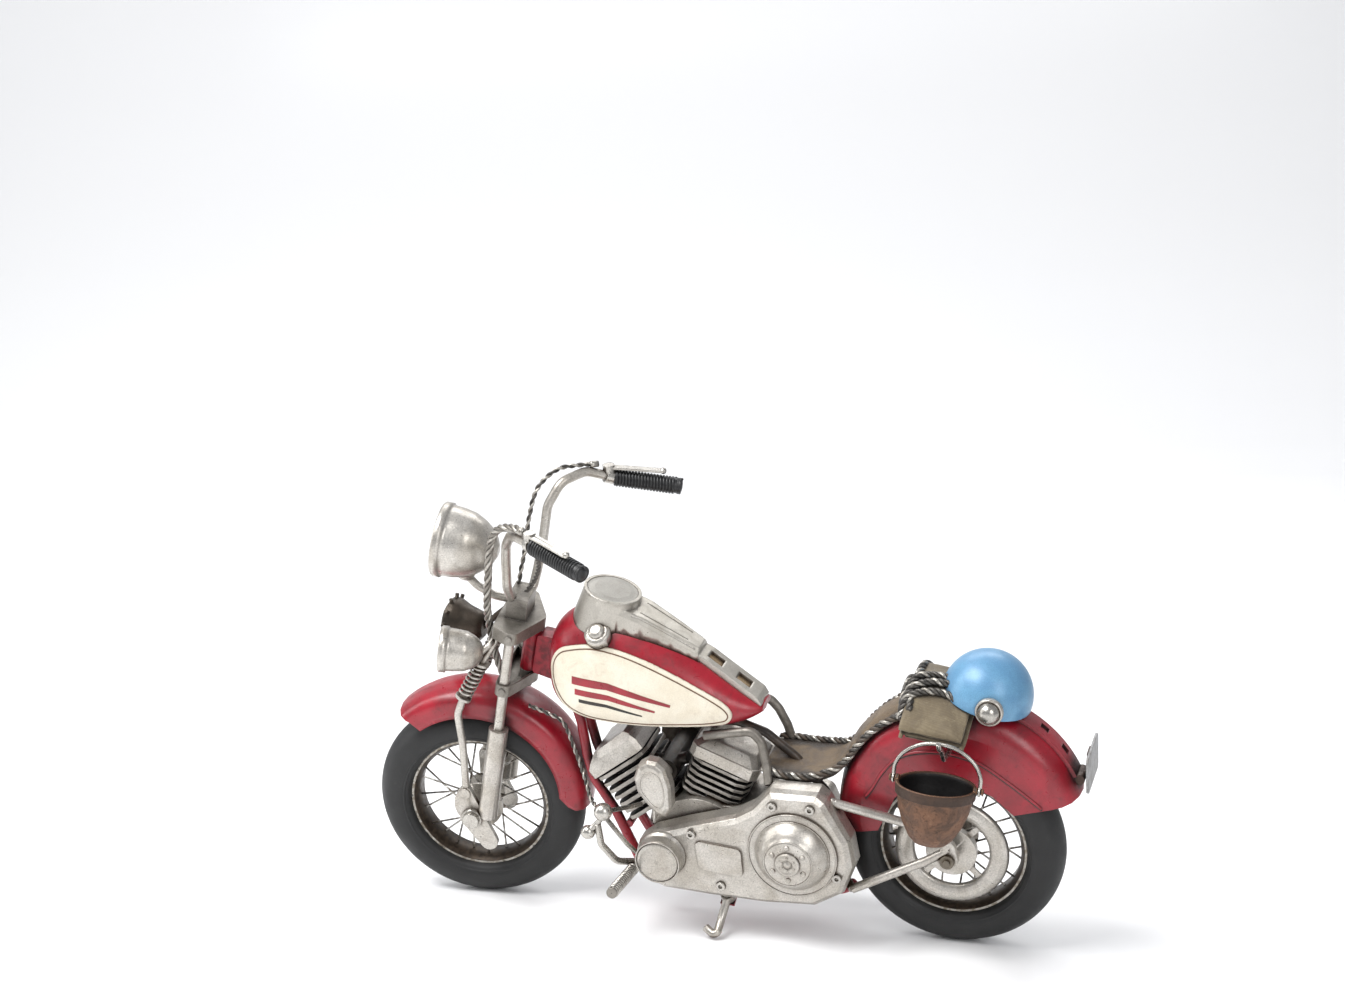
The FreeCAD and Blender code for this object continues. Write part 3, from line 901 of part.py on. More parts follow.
prof_o = [(0, -23.4), (6.6, -23.4), (8.8, -21.2), (11.9, -15.6), (13.9, -9.8), (14.9, -4.0), (15.1, -3.8), (15.7, -3.8), (15.9, -0.2), (15.7, 0.3), (14.9, 0.3),
          (14.4, -0.2), (14.0, -4.0), (13.0, -9.6), (11.1, -15.2), (8.2, -20.5), (6.4, -22.4), (0, -22.4)]
f = Part.Face(Part.makePolygon([V(r, 0, z) for r, z in prof_o] + [V(prof_o[0][0], 0, prof_o[0][1])]))
bucket = f.revolve(V(0, 0, 0), V(0, 0, 1), 360)
for s in (-1, 1):
    bucket = bucket.fuse(cyl((s * 15.2, 0, 0), (s * 18.6, 0, 0), 0.85).fuse(cyl((s * 18.1, 0, 0), (s * 18.6, 0, 0), 1.4)))
    bucket = bucket.fuse(cyl((s * 14.9, 0, 0), (s * 16.15, 0, 0), 1.7))
bucket = bucket.cut(Part.makeCone(14.35, 14.0, 4.0, V(0, 0, 0.6), V(0, 0, -1))).removeSplitter()
bucket = max(bucket.Solids, key=lambda s: s.Volume)


def hang(s):
    s = s.copy()
    s.rotate(V(0, 0, ARCH), V(0, 1, 0), TIP)
    s.translate(BAIL_TOP - V(0, 0, ARCH))
    return s


bail_b["bucket_bail"] = hang(bail)
bucket_b["bucket"] = hang(bucket)


# ---------------------------------------------------------------- place everything as it stands
def steer(s):
    return rot(s, (STEM_X, 0, STEM_Z), (SR, 0, CR), STEER)


def lean(s):
    return rot(s, (0, 0, TYRE_T), (1, 0, 0), LEAN)


nodes = {}
for d, f in ((frame, lean), (rwheel, lean), (stand, lean), (fork, lambda s: lean(steer(s))), (fwheel, lambda s: lean(steer(s))), (bail_b, lambda s: s), (bucket_b, lambda s: s)):
    for name, shape in d.items():
        nodes[name] = f(shape)
for name, shape in nodes.items():
    shape.translate(V(-ORIGIN_X, -ORIGIN_Y, 0))
    if not shape.isValid():
        print("not valid:", name)
    shape.exportStep("parts/%s.step" % name)
box = None
for name, shape in nodes.items():
    b = shape.optimalBoundingBox(True, False)
    box = b if box is None else box.united(b)
print("nodes", len(nodes))
print("box x %.3f %.3f y %.3f %.3f z %.3f %.3f" % (box.XMin, box.XMax, box.YMin, box.YMax, box.ZMin, box.ZMax))
print("origin to use", ORIGIN_X + (box.XMin + box.XMax) / 2, ORIGIN_Y + (box.YMin + box.YMax) / 2)


def show(label, p, a=None):
    q = p - V(ORIGIN_X, ORIGIN_Y, 0)
    print("%s %.4f %.4f %.4f%s" % (label, q.x, q.y, q.z, "" if a is None else "  axis %.6f %.6f %.6f" % (a.x, a.y, a.z)))


o = V(0, 0, 0)
ax = FreeCAD.Rotation(V(1, 0, 0), LEAN)
fr = FreeCAD.Rotation(V(SR, 0, CR), STEER)


def lw(p):
    return ax.multVec(V(*p) - V(0, 0, TYRE_T)) + V(0, 0, TYRE_T)


show("steering", lw((STEM_X, 0, STEM_Z)), ax.multVec(V(SR, 0, CR)))
show("front wheel", world(FA), ax.multVec(fr.multVec(V(0, 1, 0))))
show("rear wheel", lw(RA), ax.multVec(V(0, 1, 0)))
show("kickstand", lw((KP.x, KP.y, KP.z)), ax.multVec(KA))
show("bail", BAIL_TOP, V(math.cos(math.radians(TIP)), 0, -math.sin(math.radians(TIP))))
e = V(0, 0, -ARCH)
e = FreeCAD.Rotation(V(0, 1, 0), TIP).multVec(e)
show("bucket", BAIL_TOP + e, V(math.cos(math.radians(TIP)), 0, -math.sin(math.radians(TIP))))
show("front axle z", V(0, 0, FRONT_Z))
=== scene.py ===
import math
import random
import bpy
from mathutils import Vector, Matrix, noise
from mathutils.bvhtree import BVHTree


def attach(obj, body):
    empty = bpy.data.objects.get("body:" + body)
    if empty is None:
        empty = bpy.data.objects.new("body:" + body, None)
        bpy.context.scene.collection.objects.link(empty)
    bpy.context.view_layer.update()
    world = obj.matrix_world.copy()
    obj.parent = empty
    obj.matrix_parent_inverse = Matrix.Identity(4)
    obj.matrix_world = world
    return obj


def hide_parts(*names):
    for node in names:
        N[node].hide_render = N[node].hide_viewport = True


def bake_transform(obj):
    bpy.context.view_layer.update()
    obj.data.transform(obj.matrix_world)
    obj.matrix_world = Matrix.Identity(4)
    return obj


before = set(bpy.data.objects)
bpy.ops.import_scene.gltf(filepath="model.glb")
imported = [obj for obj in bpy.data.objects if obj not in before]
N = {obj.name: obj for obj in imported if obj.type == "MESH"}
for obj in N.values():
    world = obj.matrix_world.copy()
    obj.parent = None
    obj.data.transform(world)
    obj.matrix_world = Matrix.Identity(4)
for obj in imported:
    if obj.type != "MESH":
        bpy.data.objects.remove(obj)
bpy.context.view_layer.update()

random.seed(7)
MM = 0.001

# ------------------------------------------------------------------ places
CA, SA = math.cos(math.radians(12.1)), math.sin(math.radians(12.1))
SR, CR = math.sin(math.radians(12.0)), math.cos(math.radians(12.0))
STEM = Vector((-178.5, 0, 115.0))
STEM_AX = Vector((SR, 0, CR))
STEER_M = Matrix.Rotation(math.radians(6.5), 3, STEM_AX)
TWIST_M = Matrix.Rotation(math.radians(-12.1), 3, STEM_AX)


def W(p):
    x, y, z = p[0], p[1], p[2] - 10.2
    return Vector((x + 97.44, y * CA - z * SA + 19.53, y * SA + z * CA + 10.2)) * MM


def WD(d):
    return Vector((d[0], d[1] * CA - d[2] * SA, d[1] * SA + d[2] * CA)).normalized()


def F(p):
    return W(STEER_M @ (Vector(p) - STEM) + STEM)


def FD(d):
    return WD(STEER_M @ Vector(d))


def twist(p):
    return tuple(TWIST_M @ (Vector(p) - STEM) + STEM)


def uw(u, w, y=0.0):
    return (STEM.x - u * CR + w * SR, y, STEM.z + u * SR + w * CR)


# ------------------------------------------------------------------ node helpers
class Mat:
    def __init__(self, name):
        self.m = bpy.data.materials.new(name)
        self.m.use_nodes = True
        self.t = self.m.node_tree
        self.t.nodes.clear()
        self.out = self.n("ShaderNodeOutputMaterial")
        self.b = self.n("ShaderNodeBsdfPrincipled")
        self.t.links.new(self.b.outputs[0], self.out.inputs[0])
        self.co = self.n("ShaderNodeTexCoord").outputs["Object"]

    def n(self, kind, **k):
        x = self.t.nodes.new(kind)
        for a, v in k.items():
            setattr(x, a, v)
        return x

    def link(self, a, b):
        self.t.links.new(a, b)

    def set(self, sock, v):
        if hasattr(v, "is_output") or isinstance(v, bpy.types.NodeSocket):
            self.link(v, sock)
        else:
            sock.default_value = v

    def noise(self, scale, detail=4.0, rough=0.55, co=None, dist=0.0):
        x = self.n("ShaderNodeTexNoise")
        x.inputs["Scale"].default_value = scale
        x.inputs["Detail"].default_value = detail
        x.inputs["Roughness"].default_value = rough
        x.inputs["Distortion"].default_value = dist
        self.link(co or self.co, x.inputs["Vector"])
        return x.outputs["Fac"]

    def voronoi(self, scale, feature="F1", out="Distance", co=None):
        x = self.n("ShaderNodeTexVoronoi", feature=feature)
        x.inputs["Scale"].default_value = scale
        self.link(co or self.co, x.inputs["Vector"])
        return x.outputs[out]

    def ramp(self, fac, lo, hi, a=0.0, b=1.0):
        x = self.n("ShaderNodeMapRange")
        x.clamp = True
        x.interpolation_type = "SMOOTHSTEP"
        for i, v in ((1, lo), (2, hi), (3, a), (4, b)):
            x.inputs[i].default_value = v
        self.link(fac, x.inputs[0])
        return x.outputs[0]

    def math(self, op, a, b=0.0, clamp=False):
        x = self.n("ShaderNodeMath", operation=op, use_clamp=clamp)
        self.set(x.inputs[0], a)
        self.set(x.inputs[1], b)
        return x.outputs[0]

    def mix(self, fac, a, b, mode="MIX"):
        x = self.n("ShaderNodeMix", data_type="RGBA", blend_type=mode)
        self.set(x.inputs[0], fac)
        for s, v in ((x.inputs[6], a), (x.inputs[7], b)):
            if isinstance(v, (tuple, list)):
                s.default_value = (*v[:3], 1.0)
            else:
                self.link(v, s)
        return x.outputs[2]

    def ao(self, dist, inside=False):
        x = self.n("ShaderNodeAmbientOcclusion", samples=8, inside=inside)
        x.inputs["Distance"].default_value = dist
        return x.outputs["AO"]

    def edge(self, radius, lo=0.03, hi=0.22):
        bev = self.n("ShaderNodeBevel", samples=6)
        bev.inputs[0].default_value = radius
        geo = self.n("ShaderNodeNewGeometry")
        dot = self.n("ShaderNodeVectorMath", operation="DOT_PRODUCT")
        self.link(bev.outputs[0], dot.inputs[0])
        self.link(geo.outputs["Normal"], dot.inputs[1])
        inv = self.math("SUBTRACT", 1.0, dot.outputs["Value"])
        return self.ramp(inv, lo, hi), bev.outputs[0]

    def bump(self, height, strength, dist, normal=None):
        x = self.n("ShaderNodeBump")
        x.inputs["Strength"].default_value = strength
        x.inputs["Distance"].default_value = dist
        self.link(height, x.inputs["Height"])
        if normal is not None:
            self.link(normal, x.inputs["Normal"])
        return x.outputs[0]

    def radial(self, centre, axis):
        """distance from an axis, metres"""
        sub = self.n("ShaderNodeVectorMath", operation="SUBTRACT")
        self.link(self.co, sub.inputs[0])
        sub.inputs[1].default_value = centre
        crs = self.n("ShaderNodeVectorMath", operation="CROSS_PRODUCT")
        self.link(sub.outputs[0], crs.inputs[0])
        crs.inputs[1].default_value = axis
        ln = self.n("ShaderNodeVectorMath", operation="LENGTH")
        self.link(crs.outputs[0], ln.inputs[0])
        return ln.outputs["Value"]

    def across(self, signed=False):
        """distance from the bike's middle plane, metres"""
        sub = self.n("ShaderNodeVectorMath", operation="SUBTRACT")
        self.link(self.co, sub.inputs[0])
        sub.inputs[1].default_value = (0.0, 0.01953, 0.0102)
        dot = self.n("ShaderNodeVectorMath", operation="DOT_PRODUCT")
        self.link(sub.outputs[0], dot.inputs[0])
        dot.inputs[1].default_value = (0.0, CA, SA)
        return dot.outputs["Value"] if signed else self.math("ABSOLUTE", dot.outputs["Value"])

    def final(self, color, rough, metallic=None, normal=None, **k):
        self.set(self.b.inputs["Base Color"], color if not isinstance(color, (tuple, list)) else (*color[:3], 1))
        self.set(self.b.inputs["Roughness"], rough)
        if metallic is not None:
            self.set(self.b.inputs["Metallic"], metallic)
        if normal is not None:
            self.link(normal, self.b.inputs["Normal"])
        for a, v in k.items():
            self.b.inputs[a.replace("_", " ")].default_value = v
        return self.m


# paint with random tone, grain, stains, edge wear and grime haze, plus painted shade in the seams from ambient
# occlusion
def painted(name, col, col2, grime_and_shade_col, rough=0.38, metallic=0.0, coat=0.0, grime_and_shade_amount=1.0, ao=0.0035, grain=2200.0, grain_amount=0.12, wear=None, wear_amount=0.5,
            big=70.0, bump=0.25, spots=0.0, bevel=0.0005, streak=0.35):
    m = Mat(name)
    big_n = m.noise(big, 5, 0.6, dist=0.4)
    base = m.mix(m.ramp(big_n, 0.36, 0.66), col, col2)
    fine = m.noise(grain, 2, 0.6)
    shade = m.ramp(fine, 0.3, 0.7, 1.0 - grain_amount, 1.0 + grain_amount)
    vec = m.n("ShaderNodeVectorMath", operation="SCALE")
    m.link(base, vec.inputs[0])
    m.link(shade, vec.inputs["Scale"])
    base = vec.outputs[0]
    mid = m.noise(330.0, 6, 0.68, dist=0.8)
    if spots:
        sp = m.ramp(m.noise(760.0, 5, 0.62), 0.64, 0.71, 0.0, spots)
        base = m.mix(sp, base, grime_and_shade_col)
    # painted shade: ambient occlusion darkens seams, corners and recesses toward the grime-and-shade colour, made
    # patchy by noise
    occ = m.ao(ao)
    painted_seam_shade = m.ramp(occ, 0.35, 0.88, 1.0, 0.0)
    painted_seam_shade = m.math("MULTIPLY", painted_seam_shade, m.ramp(mid, 0.25, 0.6, 0.55, 1.15), True)
    haze = m.math("MULTIPLY", m.ramp(m.noise(110.0, 6, 0.7, dist=1.2), 0.5, 0.74), streak, True)
    # d is the larger of the painted seam shade and the grime haze, so it is partly painted shade and partly real grime
    d = m.math("MULTIPLY", m.math("MAXIMUM", painted_seam_shade, haze), grime_and_shade_amount, True)
    base = m.mix(d, base, grime_and_shade_col)
    e, bn = m.edge(bevel)
    if wear is not None:
        chip = m.math("MULTIPLY", e, m.ramp(mid, 0.42, 0.6, 0.0, wear_amount), True)
        base = m.mix(chip, base, wear)
    r = m.math("ADD", m.ramp(mid, 0.25, 0.75, rough - 0.07, rough + 0.10), m.math("MULTIPLY", d, 0.25), True)
    h = m.math("ADD", m.math("MULTIPLY", fine, 0.35), mid)
    nrm = m.bump(h, bump, 0.00022, bn)
    return m.final(base, r, metallic, nrm, Coat_Weight=coat, Coat_Roughness=0.25)


def metal(name, col, col2, grime_and_shade_col, rough=0.3, **k):
    return painted(name, col, col2, grime_and_shade_col, rough, metallic=0.9, **k)


# third colour in each painted() call: the grime-and-shade colour, used for stains and grime and for the painted shade
# in seams
M = {}
# red: the 10 mm occlusion reach spreads painted shade over the enamel
M["red"] = painted("red_enamel", (0.31, 0.005, 0.017), (0.215, 0.004, 0.012), (0.022, 0.004, 0.005), 0.32, coat=0.22, wear=(0.10, 0.008, 0.010), wear_amount=0.7, streak=0.42, spots=0.2, ao=0.010, grain_amount=0.08)
M["silver"] = painted("silver_paint", (0.50, 0.475, 0.435), (0.40, 0.370, 0.325), (0.070, 0.042, 0.024), 0.32, metallic=0.72, wear=(0.66, 0.63, 0.58), wear_amount=0.55, grain_amount=0.16,
                      grain=1700.0, spots=0.30, ao=0.0042, streak=0.26, grime_and_shade_amount=1.0)
M["silver_dark"] = painted("silver_dark", (0.27, 0.25, 0.22), (0.16, 0.145, 0.125), (0.018, 0.013, 0.009), 0.42, metallic=0.6, wear=(0.42, 0.40, 0.36), wear_amount=0.6, ao=0.003)
M["steel"] = metal("bright_steel", (0.50, 0.48, 0.44), (0.36, 0.34, 0.31), (0.06, 0.045, 0.03), 0.24, grain_amount=0.08, ao=0.002, streak=0.2)
M["black"] = painted("black_enamel", (0.022, 0.020, 0.018), (0.035, 0.028, 0.022), (0.012, 0.010, 0.008), 0.42, metallic=0.2, wear=(0.16, 0.14, 0.12), wear_amount=0.5)
M["dial"] = painted("dial_steel", (0.37, 0.355, 0.325), (0.31, 0.295, 0.265), (0.08, 0.06, 0.045), 0.46, metallic=0.55, grain=3000.0, grain_amount=0.12, ao=0.0015, streak=0.1)
M["bronze"] = painted("console_grey", (0.44, 0.415, 0.37), (0.35, 0.325, 0.28), (0.060, 0.040, 0.026), 0.33, metallic=0.65, wear=(0.68, 0.65, 0.60), wear_amount=0.7, grain_amount=0.10, spots=0.12, ao=0.004, streak=0.16, bevel=0.0009)
M["cream"] = painted("cream_paint", (0.76, 0.705, 0.585), (0.70, 0.63, 0.50), (0.23, 0.13, 0.06), 0.42, coat=0.1, wear=(0.30, 0.17, 0.08), wear_amount=1.0, grain_amount=0.05, streak=0.22, ao=0.0022, spots=0.10)
M["blue"] = painted("helmet_blue", (0.125, 0.295, 0.46), (0.10, 0.245, 0.41), (0.05, 0.10, 0.17), 0.38, metallic=0.1, coat=0.2, grain=2600.0, grain_amount=0.10, streak=0.15, ao=0.002, bump=0.12)
M["copper_plain"] = painted("copper_plain", (0.20, 0.085, 0.040), (0.11, 0.050, 0.028), (0.016, 0.010, 0.008), 0.46, metallic=0.5, wear=(0.62, 0.30, 0.15), wear_amount=1.0, spots=0.6, ao=0.012, streak=0.55, grain_amount=0.25)
M["tail"] = painted("tail_brown", (0.075, 0.040, 0.028), (0.045, 0.026, 0.020), (0.012, 0.008, 0.006), 0.45, metallic=0.3, wear=(0.2, 0.12, 0.08))
M["plate"] = painted("plate_grey", (0.30, 0.30, 0.30), (0.21, 0.20, 0.19), (0.06, 0.03, 0.02), 0.45, metallic=0.3, spots=0.8, grain_amount=0.3)
# darker red as painted shade for recesses; no part is given this material
M["dark_recess"] = painted("recess_shade_red", (0.07, 0.008, 0.008), (0.035, 0.006, 0.006), (0.01, 0.005, 0.004), 0.5, spots=0.2)
M["tan"] = metal("window_tan", (0.42, 0.31, 0.19), (0.30, 0.21, 0.12), (0.08, 0.05, 0.03), 0.4, grain_amount=0.25)
M["brass"] = metal("brassy_nut", (0.20, 0.175, 0.14), (0.12, 0.105, 0.085), (0.07, 0.045, 0.02), 0.34)
M["brown_line"] = painted("brown_line", (0.17, 0.085, 0.045), (0.10, 0.05, 0.03), (0.03, 0.015, 0.01), 0.55)


def tyre_mat():
    m = Mat("tyre_rubber")
    a = m.noise(120, 5, 0.6)
    base = m.mix(m.ramp(a, 0.3, 0.7), (0.0045, 0.0045, 0.0045), (0.010, 0.010, 0.010))
    dust = m.ramp(m.noise(420, 6, 0.7, dist=0.6), 0.55, 0.8, 0.0, 0.35)
    base = m.mix(dust, base, (0.035, 0.031, 0.028))
    fine = m.noise(1900, 3, 0.6)
    return m.final(base, m.ramp(a, 0.3, 0.7, 0.5, 0.66), 0.0, m.bump(m.math("ADD", fine, m.noise(300, 5, 0.6)), 0.22, 0.0003))


def rim_mat(name, centre, axis):
    """dark inside, thin worn silver lip"""
    m = Mat(name)
    r = m.radial(centre, axis)
    lip = m.ramp(r, 0.02905, 0.0293)
    n1 = m.noise(500, 5, 0.65)
    dark = m.mix(m.ramp(n1, 0.35, 0.65), (0.028, 0.020, 0.014), (0.060, 0.042, 0.028))
    silver = m.mix(m.ramp(n1, 0.4, 0.65), (0.42, 0.40, 0.36), (0.20, 0.17, 0.13))
    base = m.mix(lip, dark, silver)
    e, bn = m.edge(0.0004)
    return m.final(base, m.ramp(n1, 0.3, 0.7, 0.34, 0.52), 0.6, m.bump(n1, 0.2, 0.0002, bn))


def spoke_mat():
    m = Mat("spoke_steel")
    n1 = m.noise(260, 5, 0.6)
    base = m.mix(m.ramp(n1, 0.42, 0.62), (0.58, 0.56, 0.52), (0.18, 0.15, 0.12))
    return m.final(base, m.ramp(n1, 0.3, 0.7, 0.26, 0.45), 0.85, m.bump(n1, 0.1, 0.0001))


def leather_mat():
    m = Mat("seat_leather")
    n1 = m.noise(95, 6, 0.62, dist=0.6)
    n2 = m.noise(420, 6, 0.7, dist=0.5)
    base = m.mix(m.ramp(n1, 0.34, 0.66), (0.150, 0.098, 0.048), (0.070, 0.046, 0.026))
    base = m.mix(m.ramp(n2, 0.52, 0.72, 0.0, 0.6), base, (0.215, 0.165, 0.095))
    off = m.across()
    side = m.math("ADD", off, m.math("MULTIPLY", m.math("SUBTRACT", n1, 0.5), 0.010))
    base = m.mix(m.ramp(side, 0.0075, 0.0135, 0.0, 0.9), base, (0.020, 0.014, 0.010))
    cells = m.voronoi(1150, "DISTANCE_TO_EDGE")
    crease = m.ramp(cells, 0.0, 0.12, 0.0, 1.0)
    base = m.mix(m.math("MULTIPLY", m.math("SUBTRACT", 1.0, crease), 0.35), base, (0.03, 0.02, 0.012))
    # painted shade: ambient occlusion darkens the seat's seams and folds
    painted_seam_shade = m.ramp(m.ao(0.004), 0.4, 0.9, 0.75, 0.0)
    base = m.mix(painted_seam_shade, base, (0.025, 0.016, 0.010))
    h = m.math("ADD", m.math("MULTIPLY", crease, 0.5), m.math("MULTIPLY", n2, 0.9))
    return m.final(base, m.ramp(n2, 0.3, 0.7, 0.42, 0.66), 0.0, m.bump(h, 0.5, 0.0004), Sheen_Weight=0.1)


def canvas_mat():
    m = Mat("bag_canvas")
    n1 = m.noise(85, 6, 0.62, dist=0.7)
    n2 = m.noise(500, 6, 0.7, dist=0.4)
    base = m.mix(m.ramp(n1, 0.34, 0.66), (0.205, 0.160, 0.092), (0.118, 0.086, 0.046))
    base = m.mix(m.ramp(n2, 0.5, 0.74, 0.0, 0.55), base, (0.30, 0.25, 0.16))
    mp = m.n("ShaderNodeMapping")
    m.link(m.co, mp.inputs["Vector"])
    mp.inputs["Rotation"].default_value = (math.radians(12.1), 0.15, 0.0)
    w1 = m.n("ShaderNodeTexWave", wave_type="BANDS", bands_direction="X")
    w2 = m.n("ShaderNodeTexWave", wave_type="BANDS", bands_direction="Y")
    for w in (w1, w2):
        w.inputs["Scale"].default_value = 620.0
        w.inputs["Distortion"].default_value = 0.7
        m.link(mp.outputs[0], w.inputs["Vector"])
    weave = m.math("MULTIPLY", w1.outputs["Fac"], w2.outputs["Fac"])
    base = m.mix(m.ramp(weave, 0.0, 0.6, 0.22, 0.0), base, (0.04, 0.028, 0.015))
    # painted shade: ambient occlusion darkens the bag's folds and the gaps between its layers
    painted_seam_shade = m.ramp(m.ao(0.005), 0.35, 0.9, 0.85, 0.0)
    base = m.mix(painted_seam_shade, base, (0.022, 0.015, 0.009))
    h = m.math("ADD", m.math("MULTIPLY", weave, 0.5), n2)
    return m.final(base, m.ramp(n2, 0.3, 0.7, 0.55, 0.78), 0.0, m.bump(h, 0.45, 0.0004), Sheen_Weight=0.25)


def fibre_mat(name, a, b, rough=0.5, metallic=0.0):
    m = Mat(name)
    n1 = m.noise(420, 5, 0.6)
    base = m.mix(m.ramp(n1, 0.35, 0.65), a, b)
    # painted shade: ambient occlusion darkens the gaps between strands
    painted_seam_shade = m.ramp(m.ao(0.0012), 0.3, 0.85, 0.8, 0.0)
    base = m.mix(painted_seam_shade, base, tuple(c * 0.22 for c in b))
    return m.final(base, m.ramp(n1, 0.3, 0.7, rough - 0.08, rough + 0.1), metallic, m.bump(n1, 0.25, 0.0002))


def lens_mat():
    m = Mat("lamp_lens")
    n1 = m.noise(150, 3, 0.5)
    ribs = m.n("ShaderNodeTexWave", wave_type="BANDS", bands_direction="Y")
    ribs.inputs["Scale"].default_value = 150.0
    m.link(m.co, ribs.inputs["Vector"])
    base = m.mix(m.ramp(n1, 0.3, 0.7), (0.62, 0.64, 0.65), (0.50, 0.51, 0.51))
    return m.final(base, m.ramp(n1, 0.3, 0.7, 0.08, 0.16), 0.35, m.bump(ribs.outputs["Fac"], 0.25, 0.0004), Coat_Weight=0.8, Coat_Roughness=0.05)




def intake_mat():
    m = Mat("intake")
    n1 = m.noise(500, 5, 0.65)
    far = m.ramp(m.across(True), 0.0195, 0.0205)
    base = m.mix(far, m.mix(m.ramp(n1, 0.35, 0.65), (0.020, 0.018, 0.016), (0.045, 0.036, 0.028)), m.mix(m.ramp(n1, 0.35, 0.65), (0.46, 0.44, 0.40), (0.33, 0.30, 0.26)))
    return m.final(base, m.ramp(n1, 0.3, 0.7, 0.34, 0.5), 0.6, m.bump(n1, 0.2, 0.0002))


def bucket_mat():
    """rusty outside with a darker rim band, black inside"""
    m = Mat("bucket_copper")
    n1 = m.noise(150, 6, 0.65, dist=0.8)
    n2 = m.noise(700, 6, 0.7, dist=0.5)
    base = m.mix(m.ramp(n1, 0.36, 0.66), (0.165, 0.080, 0.043), (0.075, 0.040, 0.024))
    base = m.mix(m.ramp(n2, 0.52, 0.72, 0.0, 0.75), base, (0.030, 0.018, 0.012))
    base = m.mix(m.ramp(m.noise(240, 5, 0.6), 0.58, 0.72, 0.0, 0.5), base, (0.24, 0.13, 0.075))
    sub = m.n("ShaderNodeVectorMath", operation="SUBTRACT")
    m.link(m.co, sub.inputs[0])
    sub.inputs[1].default_value = (0.09803, -0.03269, 0.0802)
    up = m.n("ShaderNodeVectorMath", operation="DOT_PRODUCT")
    m.link(sub.outputs[0], up.inputs[0])
    up.inputs[1].default_value = (math.sin(math.radians(5)), 0, math.cos(math.radians(5)))
    band = m.ramp(up.outputs["Value"], -0.0041, -0.0037)
    base = m.mix(m.math("MULTIPLY", band, 0.8), base, (0.034, 0.022, 0.016))
    e, bn = m.edge(0.0006)
    lip = m.math("MULTIPLY", e, m.ramp(up.outputs["Value"], -0.0012, -0.0004), True)
    geo = m.n("ShaderNodeNewGeometry")
    dot = m.n("ShaderNodeVectorMath", operation="DOT_PRODUCT")
    m.link(sub.outputs[0], dot.inputs[0])
    m.link(geo.outputs["Normal"], dot.inputs[1])
    flat = m.n("ShaderNodeVectorMath", operation="MULTIPLY")
    m.link(sub.outputs[0], flat.inputs[0])
    flat.inputs[1].default_value = (1, 1, 0)
    m.link(flat.outputs[0], dot.inputs[0])
    ins = m.ramp(dot.outputs["Value"], -0.0004, 0.0004, 1.0, 0.0)
    low = m.ramp(up.outputs["Value"], -0.0006, 0.0, 1.0, 0.0)
    base = m.mix(m.math("MULTIPLY", ins, low, True), base, (0.006, 0.005, 0.005))
    base = m.mix(lip, base, (0.50, 0.25, 0.13))
    return m.final(base, m.ramp(n2, 0.3, 0.7, 0.42, 0.62), 0.35, m.bump(n2, 0.4, 0.0003, bn))




def neck_mat():
    m = Mat("neck")
    n1 = m.noise(300, 5, 0.65)
    pos = m.n("ShaderNodeSeparateXYZ")
    m.link(m.co, pos.inputs[0])
    rear = m.ramp(pos.outputs["X"], -0.062, -0.052)
    base = m.mix(rear, m.mix(m.ramp(n1, 0.4, 0.66), (0.29, 0.005, 0.016), (0.12, 0.004, 0.008)), m.mix(m.ramp(n1, 0.35, 0.65), (0.055, 0.038, 0.026), (0.020, 0.015, 0.011)))
    return m.final(base, m.ramp(n1, 0.3, 0.7, 0.34, 0.5), 0.1, m.bump(n1, 0.2, 0.0002))


M["neck"] = neck_mat()
M["intake"] = intake_mat()
M["copper"] = bucket_mat()
# fins: near-black grime-and-shade colour with a long occlusion reach, painted shade between the fins
M["fins"] = painted("fin_metal", (0.40, 0.375, 0.34), (0.26, 0.24, 0.21), (0.010, 0.008, 0.007), 0.34, metallic=0.65, wear=(0.62, 0.59, 0.54), wear_amount=0.8, ao=0.0060, grime_and_shade_amount=1.15)
M["siren_dark"] = painted("siren_dark", (0.060, 0.046, 0.034), (0.030, 0.024, 0.018), (0.010, 0.008, 0.006), 0.4, metallic=0.6, wear=(0.34, 0.29, 0.22), wear_amount=0.9, ao=0.003)
M["tyre"] = tyre_mat()
M["spoke"] = spoke_mat()
M["leather"] = leather_mat()
M["canvas"] = canvas_mat()
M["braid"] = fibre_mat("braid_dark", (0.050, 0.036, 0.026), (0.085, 0.062, 0.042), 0.5)
M["strand_dark"] = fibre_mat("strand_dark", (0.050, 0.046, 0.042), (0.10, 0.092, 0.082), 0.4, 0.6)
M["strand_silver"] = fibre_mat("strand_silver", (0.44, 0.42, 0.38), (0.27, 0.25, 0.22), 0.34, 0.8)
M["rubber"] = fibre_mat("grip_rubber", (0.008, 0.008, 0.009), (0.018, 0.018, 0.018), 0.4)
M["lens"] = lens_mat()
FRONT_C = Vector((-108.4822, 10.8391, 44.0564)) * MM
REAR_C = Vector((97.44, 12.2353, 44.2269)) * MM
FRONT_AX = Vector((-0.110729, 0.966564, 0.231284))
REAR_AX = Vector((0, 0.977783, 0.209619))
M["rim_f"] = rim_mat("rim_front", FRONT_C, FRONT_AX)
M["rim_r"] = rim_mat("rim_rear", REAR_C, REAR_AX)

